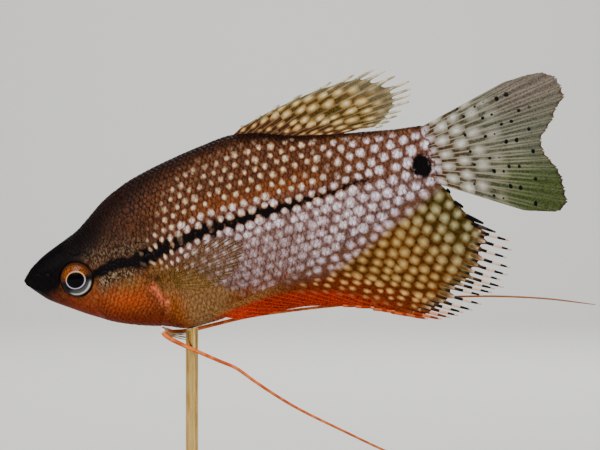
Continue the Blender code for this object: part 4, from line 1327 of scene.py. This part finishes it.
anal_look = fin_look(
    "anal_fin_web", ((46, 22, 3), (74, 40, 9)), (188, 92, 40), ((96, 60, 18), (200, 168, 104)),
    (0.62, 0.60), 0.96, flank=True,
    layers=(
        ("moss", (30, 23, 3), (52, 42, 9), 0.95),
        ("gold", (100, 60, 26), (148, 102, 56), 0.98),
        ("rust", (66, 17, 1), (98, 36, 5), 0.96),
        ("red", (84, 8, 3), (146, 32, 12), 0.98),
        ("flush", (132, 20, 8), (186, 52, 28), 0.98),
        ("lilac", (72, 44, 30), (100, 68, 54), 0.98),
    ),
)
make_fin(
    "anal_fin_membrane", anal, anal_look, ("anal_fin",), anal_marks, anal_lattice,
    rows=80, swell=keel_swell, flank=flank_map,
)

# %% [markdown]
# The fringe is made of round threads, one for each ray. Black and cream take turns along them,
# counted back from the pale tip, and each ray starts its bands at its own place. The foremost
# threads are red, and the last few black.

# %% Fringe of the anal fin
BAND = 3.5
FIRST_THREAD = 7

fringe_look, tree, shader = new_material("fin_fringe", 0.42, IOR=1.14)
left, number = stored(tree, "left"), stored(tree, "number")
counted = times_plus(stored(tree, "luck"), 0.9, left)
wave = sine(times_plus(counted, 2 * math.pi / BAND, 1.2))
bands = larger(between(wave, -0.1, 0.2), between(left, 0.9, 0.6))
cream = blend(noise(tree, 0.6), (190, 138, 100), (238, 214, 190))
colour = blend(bands, (12, 9, 10), cream)
front = blend(bands, (140, 46, 14), (184, 88, 40))
colour = blend(between(number, 0.50, 0.38), colour, front)
colour = blend(between(number, 0.885, 0.91), colour, (10, 9, 11))
pale = blend(between(number, 0.91, 0.885), colour, cream)
colour = blend(between(left, 0.7, 0.5), colour, pale)
colour = blend(between(left, 4.5, 7.5), colour, (92, 66, 30))
dye(shader, colour)
rays = np.arange(FIRST_THREAD, ANAL_RAYS)
free_tips("anal_fin_fringe", anal, fringe_look, rays, 0.33 + 0.12 * soft(rays, 28, 30))

# %% [markdown]
# ## The dorsal fin
# It sits far back on the ridge: six spines and eleven soft rays, swept back over the tail stalk.
# Its pearls lie in the gaps between the rays and grow outwards.

# %% Dorsal fin
DORSAL_TIPS = (
    (0.00, 51.0, 17.9), (0.08, 55.8, 19.1), (0.16, 61.5, 20.3), (0.24, 69.0, 21.2), (0.32, 75.8, 21.6),
    (0.40, 79.6, 21.0), (0.47, 81.8, 19.8), (0.55, 84.4, 17.4), (0.63, 85.5, 15.6), (0.72, 84.2, 13.9),
    (0.80, 82.4, 12.2), (0.90, 80.0, 10.9), (1.00, 77.4, 10.1),
)
DORSAL_REACH = ((0.0, 0.86), (0.1, 0.94), (0.3, 0.98), (0.7, 0.98), (1.0, 0.96))
DORSAL_RAYS = 17

dorsal = midline_rays(
    47.8, 67.5, DORSAL_RAYS, 0, DORSAL_TIPS, DORSAL_REACH, math.radians(-4),
    notch=0.15, spines=6, fork_at=0.75,
)


def dorsal_lattice(places, number, distance):
    """Pairs of rays across, and spacings that grow from 1.9 mm outwards, square to the rays."""
    walked = distance + 1.05 * number
    return number / 1.9 + 0.2, walked / (1.9 + 0.02 * walked)


def dorsal_marks(places, distance, share):
    """Brown near the back, olive in the middle, and clear and streaked towards the edge."""
    return {
        "rust": 0.6 * soft(5.5 - distance, -2, 4),
        "brown": soft(8.0 - distance, -3, 6),
        "glass": soft(share, 0.60, 0.85),
        "thin": 0.14 * soft(share, 0.62, 0.92),
        "pearl": (1 - 0.85 * soft(share, 0.74, 0.96)) * soft(distance, 0.8, 1.6),
        "ray_tone": 0.30 + 0.60 * soft(share, 0.5, 0.8),
        "foot": soft(1.8 - distance, 0, 1.8),
    }


dorsal_look = fin_look(
    "dorsal_fin_web", ((48, 34, 5), (82, 62, 13)), (180, 164, 120), ((112, 78, 28), (238, 220, 164)),
    (0.43, 0.64), 0.88,
    layers=(("brown", (44, 18, 4), (76, 38, 12), 0.96), ("glass", (66, 54, 24), (98, 84, 48), 0.0)),
)
make_fin("dorsal_fin_membrane", dorsal, dorsal_look, ("dorsal_fin",), dorsal_marks, dorsal_lattice, rows=80)

tips_look, tree, shader = new_material("dorsal_tips", 0.42, IOR=1.14)
streaks = between(noise(tree, 2.0), 0.4, 0.6)
dye(shader, blend(streaks, (150, 136, 106), (206, 196, 168)))
free_tips("dorsal_fin_tips", dorsal, tips_look, np.arange(DORSAL_RAYS), 0.30)

# %% [markdown]
# ## The tail fin
# Branched rays fan out from the end of the stalk. Pearls lie between them near the root and
# draw out into pale blotches, with a dark dot between each two, while the web beyond is a clear
# grey green with fine pale rays.

# %% Tail fin
TAIL_TIPS = (
    (0.00, 103.5, 11.9), (0.10, 110.5, 12.0), (0.19, 114.2, 9.4), (0.27, 115.1, 6.7),
    (0.36, 112.6, 3.7), (0.44, 110.2, 1.2), (0.51, 108.1, -0.9), (0.58, 107.6, -3.4),
    (0.66, 108.6, -6.0), (0.74, 109.6, -9.1), (0.83, 109.8, -12.7), (0.91, 108.6, -15.5),
    (0.96, 105.7, -16.6), (1.00, 100.5, -14.3),
)
TAIL_RAYS = 18
STALK_END, STALK_TOP, STALK_HEIGHT = 84.6, 7.7, 11.6
FULL_REACH, NO_SPINES = 0.985, -9

shares = np.linspace(0, 1, TAIL_RAYS)
root = np.stack([np.full(TAIL_RAYS, STALK_END), 0 * shares, STALK_TOP - STALK_HEIGHT * shares], -1)
tail_rays = flat_rays(
    root, read(TAIL_TIPS, shares), 0.012, 0.0, np.full(TAIL_RAYS, FULL_REACH),
    notch=0.02, spines=NO_SPINES, fork_at=0.30,
)


def tail_lattice(places, number, distance):
    """Three rays across, and spacings that grow from 2.8 mm outwards."""
    return (number - 8.5) / 2.9 + 0.5, distance / (2.8 + 0.035 * distance) + 0.2


def tail_marks(places, distance, share):
    """Brown at the root, grey green beyond, mossy in the lower lobe, with a dark hem at the fork."""
    height = places[..., 2]
    return {
        "lilac": soft(4.0 - distance, 0, 4),
        "stem": soft(10.0 - distance, -3, 8),
        "moss": soft(-height - 0.25 * (distance - 12), -2, 7) * soft(distance, 8, 18),
        "mist": soft(height, 2, 9) * soft(distance, 12, 20),
        "pearl": soft(15.0 - distance, -4, 9),
        "ray_tone": 0.75 - 0.45 * soft(distance, 10, 22) - 0.2 * soft(-height, 4, 10),
        "hem": soft(share, 0.972, 0.99) * soft(distance, 10, 14) * soft(9 - height, 0, 3) * 0.9,
        "ink": soft(distance, 6.0, 8.0) * soft(24 - distance, 0, 3) * soft(11.0 - height, 0, 2),
        "foot": soft(3.0 - distance, 0, 2.5),
    }


tail_look = fin_look(
    "tail_fin_web", ((50, 52, 40), (78, 80, 66)), (184, 176, 150), ((112, 106, 90), (222, 220, 208)),
    (0.50, 0.62), 0.86, dots=(0.10, 0.10),
    layers=(
        ("stem", (44, 22, 6), (84, 54, 26), 0.95),
        ("moss", (34, 46, 12), (60, 74, 28), 0.90),
        ("mist", (62, 52, 46), (98, 86, 78), 0.86),
    ),
)
make_fin(
    "tail_fin_membrane", tail_rays, tail_look, ("tail_fin",), tail_marks, tail_lattice,
    rows=88, ridge=0.10, swell=ledge(0.95),
)

# %% [markdown]
# ## The pectoral fins
# A small clear fan on each flank, which the fish rows with. It stands off the body, so its
# normal comes from the surface itself.

# %% Pectoral fins
PECTORAL_TIPS = (
    (0.00, 37.5, -1.8), (0.15, 41.5, -2.5), (0.35, 44.7, -4.6), (0.60, 43.2, -8.3),
    (0.80, 39.2, -10.8), (1.00, 33.5, -11.6),
)
PECTORAL_RAYS = 11
ROOT_DEPTH, STAND_OFF, SPLAY = 0.3, 1.7, math.radians(9)

pectoral_look = fin_look(
    "pectoral_fin_web", ((88, 62, 13), (128, 96, 36)), (22, 10, 3), ((200, 180, 140), (200, 180, 140)),
    (0.3, 0.3), 0.04, ray_cover=0.66,
)


def pectoral_marks(places, distance, share):
    """Rays fade a little outwards, and the web thickens towards the root."""
    return {
        "ray_tone": 1 - 0.2 * share,
        "foot": 0.9 * soft(1.2 - distance, 0, 1.2) + 0.35 * soft(8 - distance, 0, 8),
    }


def pectoral_lattice(places, number, distance):
    """One cell to each ray and millimetre. This fin has no pearls."""
    return number, distance


def pectoral(name, side, stands_for):
    """Rays leave the skin along its normal, and their tips stand off by a share of their length."""
    shares = np.linspace(0, 1, PECTORAL_RAYS)
    along, height = 27.0 + 0.4 * shares, -6.2 - 3.0 * shares
    turns = side * flank_turn(along, height)
    skin, normal = body(along, turns), outward(along, turns)
    ends = read(PECTORAL_TIPS, shares)
    out = skin[:, 1] + side * (STAND_OFF + (ends[:, 0] - along) * math.tan(SPLAY))
    tip = uneven(skin, np.stack([ends[:, 0], out, ends[:, 1]], -1), 0.02)
    fin = {
        "root": skin - normal * ROOT_DEPTH, "tip": tip, "middle": skin + normal * STAND_OFF,
        "reach": np.full(PECTORAL_RAYS, FULL_REACH), "notch": 0.03, "spines": NO_SPINES, "fork_at": 0.5,
        "flat": False,
    }
    make_fin(
        name, fin, pectoral_look, (stands_for,), pectoral_marks, pectoral_lattice,
        rows=56, thin=0.03, ridge=0.07, swell=ledge(0.25),
    )


pectoral("pectoral_fin_left_membrane", -1, "pectoral_fin_left")
pectoral("pectoral_fin_right_membrane", 1, "pectoral_fin_right")

# %% [markdown]
# ## The feelers
# Each belly fin of a gourami is one long thread that it feels its way with. The threads start at
# a pale knob behind the breast, are finely ringed, and taper to a hair. Beside each root grow
# three short soft rays.

# %% Routes of the feelers
FEELER_LEFT = (
    (23.85, -1.3, -16.9), (24.7, -2.3, -18.5), (27.2, -3.0, -20.9), (30.0, -3.4, -23.2),
    (33.2, -3.8, -25.8), (36.2, -4.1, -28.2), (38.7, -4.4, -31.3), (41.4, -4.7, -34.5),
    (45.5, -5.0, -38.9), (53.0, -5.4, -45.7), (60.7, -5.8, -52.4), (70.0, -6.2, -59.7),
    (79.7, -6.5, -66.5), (88.7, -6.7, -71.8),
)
FEELER_RIGHT = (
    (23.85, 1.3, -16.9), (25.7, 2.7, -18.1), (30.0, 3.4, -18.8), (39.4, 3.2, -19.2),
    (51.4, 2.8, -20.8), (63.7, 2.6, -23.0), (77.1, 2.6, -25.7), (88.7, 2.8, -28.7), (99.5, 3.1, -32.3),
    (109.0, 3.3, -36.3),
)
FEELER_RADII = (
    (0.0, 0.52), (0.012, 0.60), (0.03, 0.50), (0.12, 0.38), (0.5, 0.25), (0.92, 0.17), (1.0, 0.08),
)
THREAD_RADII = ((0.0, 0.20), (0.5, 0.14), (1.0, 0.05))
RINGS_PER_MM = 2.4
print("knots on the feelers:", len(FEELER_LEFT), "and", len(FEELER_RIGHT))

# %% [markdown]
# A feeler is orange with a fine ring every half millimetre or so, fades to brown towards its
# tip, and has a white knob at its root. The distance walked along the thread places all three.

# %% Feeler material
feeler_look, tree, shader = new_material("feeler_skin", 0.42, IOR=1.2)
walked = stored(tree, "walk")
rings = sine(times(walked, 2 * math.pi * RINGS_PER_MM))
colour = blend(between(rings, -1.0, 1.0), (158, 62, 14), (196, 84, 24))
colour = blend(between(noise(tree, 1.6), 0.42, 0.62), colour, (214, 112, 52))
colour = blend(between(walked, 34.0, 84.0), colour, (136, 86, 40))
colour = blend(between(walked, 1.3, 0.6), colour, (236, 214, 204))
dye(shader, colour)
print("the feelers' material has", len(tree.nodes), "nodes")

# %% [markdown]
# A thread is a circle carried along its route. Two directions square to the route span each
# circle, and its radius comes from a table, so that one function draws long feelers and short
# rays alike.

# %% Feelers and soft rays


def thread(name, routes, radii, material, stands_for=(), points_each=520, sides=12):
    """Circles carried along each route, their radius read from the table by the share walked."""
    points, faces, walks = [], [], []
    for route in routes:
        route = np.array(route, float)
        knots = np.concatenate([[0], np.cumsum(np.linalg.norm(np.diff(route, axis=0), axis=1))])
        at = np.linspace(0, knots[-1], points_each)
        path = np.stack([through(knots, route[:, k], at) for k in range(3)], -1)
        walked = np.concatenate([[0], np.cumsum(np.linalg.norm(np.diff(path, axis=0), axis=1))])
        radius = read(radii, walked / walked[-1])[:, 0]
        radius = radius * (1 + 0.012 * np.sin(2 * math.pi * RINGS_PER_MM * walked))
        forward = unit(np.gradient(path, axis=0))
        first = unit(np.cross(forward, [0.0, 1.0, 0.2]))[:, None]
        second = np.cross(forward, first[:, 0])[:, None]
        turn = full_turn(sides)[None, :, None]
        rim = path[:, None] + radius[:, None, None] * (np.cos(turn) * first + np.sin(turn) * second)
        faces.append(tube_faces(points_each, sides) + sum(map(len, points)))
        points.append(np.concatenate([rim.reshape(-1, 3), path[:1], path[-1:]]))
        walks.append(np.concatenate([np.repeat(walked, sides), walked[:1], walked[-1:]]))
        print(name, round(float(walked[-1]), 1), "mm long")
    add_piece(
        name, over_stand(np.concatenate(points)), np.concatenate(faces), material, stands_for,
        values={"walk": np.concatenate(walks)},
    )


for side, route in (("left", FEELER_LEFT), ("right", FEELER_RIGHT)):
    nodes = tuple(f"feeler_{side}_{part}" for part in ("root", "middle", "tip"))
    thread(f"feeler_{side}", [route], FEELER_RADII, feeler_look, nodes)

olive_look, tree, shader = new_material("soft_belly_rays", 0.4)
colour = blend(noise(tree, 0.7), (58, 50, 26), (122, 104, 62))
dye(shader, colour)
for name, side in (("belly_rays_left", -1), ("belly_rays_right", 1)):
    routes = [
        ((23.9, side * 1.4, -16.7), (25.4, side * 2.3, -17.9 - drop / 3), (28.6, side * 2.8, -18.7 - drop))
        for drop in (0.3, 1.0, 1.7)
    ]
    thread(name, routes, THREAD_RADII, olive_look, points_each=30, sides=6)

# %% [markdown]
# ## The stand
# The real fish hangs in water. Here a brass rod carries it over an oval walnut plate. Both are
# turned shapes: a profile of radius and height, carried round an axis.

# %% Turned shapes
BASE_LENGTH, BASE_WIDTH, BASE_THICKNESS, BASE_EDGE = 92.0, 48.0, 5.5, 1.2
ROD_PLACE, ROD_RADIUS = -16.4, 1.25
ROD_TOP, ROD_RINGS = 40, 8
GAP = 0.3
SAMPLES = 161


def turned_piece(name, profile, centre, stretch, material, stands_for, segments, tops=None):
    """Radius and height pairs carried round an axis, stretched sideways and closed by fans."""
    profile = np.array(profile, float)
    turn = full_turn(segments)
    x = centre[0] + stretch[0] * profile[:, :1] * np.cos(turn)
    y = centre[1] + stretch[1] * profile[:, :1] * np.sin(turn)
    z = centre[2] + np.repeat(profile[:, 1:], segments, axis=1)
    if tops:
        z[-1] = tops(x[-1], y[-1])
    rim = np.stack([x, y, z], -1).reshape(-1, 3)
    ends = [[centre[0], centre[1], z[0].mean()], [centre[0], centre[1], z[-1].mean()]]
    places = np.concatenate([rim, ends]) * MILLIMETRE
    piece = add_piece(name, places, tube_faces(len(profile), segments), material, stands_for)
    piece.data.set_sharp_from_angle(angle=math.radians(35))


def belly_above(x, y):
    """Height of the belly's skin over each point, less the gap that the rod keeps."""
    station = np.linspace(20, 40, SAMPLES)[:, None]
    turn = np.linspace(0.7, 1.3, SAMPLES)[None] * math.pi
    places = over_stand(body(station, turn)).reshape(-1, 3) / MILLIMETRE
    nearest = np.argmin((places[:, :1] - x) ** 2 + (places[:, 1:2] - y) ** 2, axis=0)
    return places[nearest, 2] - GAP


print("belly over the rod at", round(float(belly_above(np.array([ROD_PLACE]), np.zeros(1))[0]), 1), "mm")

# %% [markdown]
# Walnut is brown with a long dark figure and short open pores, both noise stretched along the
# plate. Its edges are rounded by quarter circles, and a thin coat gives the polish.

# %% Walnut plate
walnut, tree, shader = new_material("walnut_plate", 0.35, Coat_Weight=0.4, Coat_Roughness=0.12)
figure = noise(tree, 1.1, 6, (18, 1, 1), turned=False)
pores = noise(tree, 0.25, 2, (14, 1, 1), turned=False)
colour = blend(between(figure, 0.35, 0.65), (58, 32, 18), (112, 68, 40))
colour = blend(between(pores, 0.60, 0.70), colour, (34, 19, 11))
dye(shader, colour)
bump(shader, pores, 0.05, 0.2)

bend = np.linspace(0, math.pi / 2, 9)
share = BASE_EDGE / (BASE_LENGTH / 2)
lower = [(1 - share * (1 - math.sin(a)), BASE_EDGE * (1 - math.cos(a))) for a in bend]
upper = [(1 - share * (1 - math.cos(a)), BASE_THICKNESS - BASE_EDGE * (1 - math.sin(a))) for a in bend]
oval = (BASE_LENGTH / 2, BASE_WIDTH / 2)
turned_piece("base_plate", lower + upper, (0, 0, 0), oval, walnut, ("stand_base",), 144)

# %% [markdown]
# Brass is a metal, so its colour tints what it mirrors. Drawn rod is a little worn along its
# length, which a stretched noise gives to colour and roughness. The rod's top follows the belly.

# %% Brass rod and collar
brass, tree, shader = new_material("brass_rod", 0.22, Metallic=1.0)
wear = noise(tree, 0.5, 4, (1, 1, 8), turned=False)
tone = blend(between(wear, 0.35, 0.65), (186, 146, 76), (216, 180, 110))
dye(shader, tone)
feed(shader.inputs["Roughness"], times_plus(wear, 0.2, 0.14))

start = BASE_THICKNESS + GAP
levels = [(ROD_RADIUS, height) for height in np.linspace(start, ROD_TOP, ROD_RINGS)]
turned_piece("rod", levels, (ROD_PLACE, 0, 0), (1, 1), brass, ("stand_rod",), 40, belly_above)
collar = [
    (1.6, 0.0), (3.5, 0.0), (3.6, 0.25), (3.55, 0.62), (3.1, 0.95), (2.5, 1.2), (2.2, 1.55), (1.6, 1.6),
]
turned_piece("collar", collar, (ROD_PLACE, 0, start), (1, 1), brass, ("stand_collar",), 64)

# %% [markdown]
# ## Floor and light
# The stage is a pale floor that curves up behind the fish. A large soft light stands above and
# before it on the left, a weaker one on the right, and one behind draws the fish's back. One
# more lights the backdrop.

# %% Stage
FLOOR_HALF, FLOOR_FRONT, FLOOR_BACK, WALL_HEIGHT = 2.0, -2.0, 0.95, 1.6
COVE = 0.35
FLOOR_COLOUR = paint(226, 225, 221)
FISH_MIDDLE = (0, 0, 0.06)

floor_look, _, shader = new_material("pale_floor", 0.8, Specular_IOR_Level=0.2)
dye(shader, FLOOR_COLOUR)
bend = np.linspace(0, math.pi / 2, 24)
curve = np.stack([FLOOR_BACK + COVE * np.sin(bend), COVE - COVE * np.cos(bend)], -1)
profile = np.concatenate([[[FLOOR_FRONT, 0.0]], curve, [[FLOOR_BACK + COVE, WALL_HEIGHT]]])
left = np.insert(profile, 0, -FLOOR_HALF, axis=1)
right = np.insert(profile, 0, FLOOR_HALF, axis=1)
mesh = bpy.data.meshes.new("floor")
mesh.from_pydata(np.concatenate([left, right]).tolist(), [], grid_faces(2, len(profile)).tolist())
mesh.materials.append(floor_look)
mesh.shade_smooth()
floor = place_object("floor", mesh)


def area_light(name, place, aim, size, power, colour=(1, 1, 1)):
    """A square light at a place, turned so that its -Z looks at the aim."""
    data = bpy.data.lights.new(name, "AREA")
    data.size, data.energy, data.color = size, power, colour
    lamp = place_object(name, data)
    lamp.location = place
    x, y, z = unit(np.array(aim) - np.array(place))
    lamp.rotation_euler = (math.acos(-z), 0.0, math.atan2(y, x) - math.pi / 2)


area_light("key", (-0.28, -0.55, 0.55), FISH_MIDDLE, 0.40, 8.0, (1.0, 0.985, 0.96))
area_light("fill", (0.55, -0.50, 0.20), FISH_MIDDLE, 0.50, 1.2, (0.95, 0.97, 1.0))
area_light("rim", (0.15, 0.50, 0.50), (0, 0, 0.07), 0.30, 2.0)
area_light("backdrop", (0.0, 0.75, 0.95), (0, 1.25, 0.12), 0.60, 7.0)
world = bpy.data.worlds.new("studio")
world.use_nodes = True
background = world.node_tree.nodes["Background"]
background.inputs["Color"].default_value = (0.85, 0.87, 0.90, 1)
background.inputs["Strength"].default_value = 0.30
bpy.context.scene.world = world
print("lights:", [lamp.name for lamp in bpy.data.lights])

# %% [markdown]
# ## The camera
# It looks level across the fish, and is aimed so that the fish keeps the place in the frame
# that it has in the photograph, at a fifth of a millimetre to the pixel.

# %% Camera
PHOTO_CENTRE = (300, 225)
SNOUT_PIXEL = (24, 281)
PIXEL = 0.0002
LENS, SENSOR = 120.0, 36.0

camera_data = bpy.data.cameras.new("camera")
camera_data.lens = LENS
camera_data.sensor_width = SENSOR
camera_data.clip_start = 0.01
camera = place_object("camera", camera_data)
view_width = 2 * PHOTO_CENTRE[0] * PIXEL
camera.location = (
    SNOUT[0] + (PHOTO_CENTRE[0] - SNOUT_PIXEL[0]) * PIXEL,
    -view_width * LENS / SENSOR,
    SNOUT[2] + (SNOUT_PIXEL[1] - PHOTO_CENTRE[1]) * PIXEL,
)
camera.rotation_euler = (math.pi / 2, 0, 0)
bpy.context.scene.camera = camera
print("camera at", [round(part, 4) for part in camera.location])
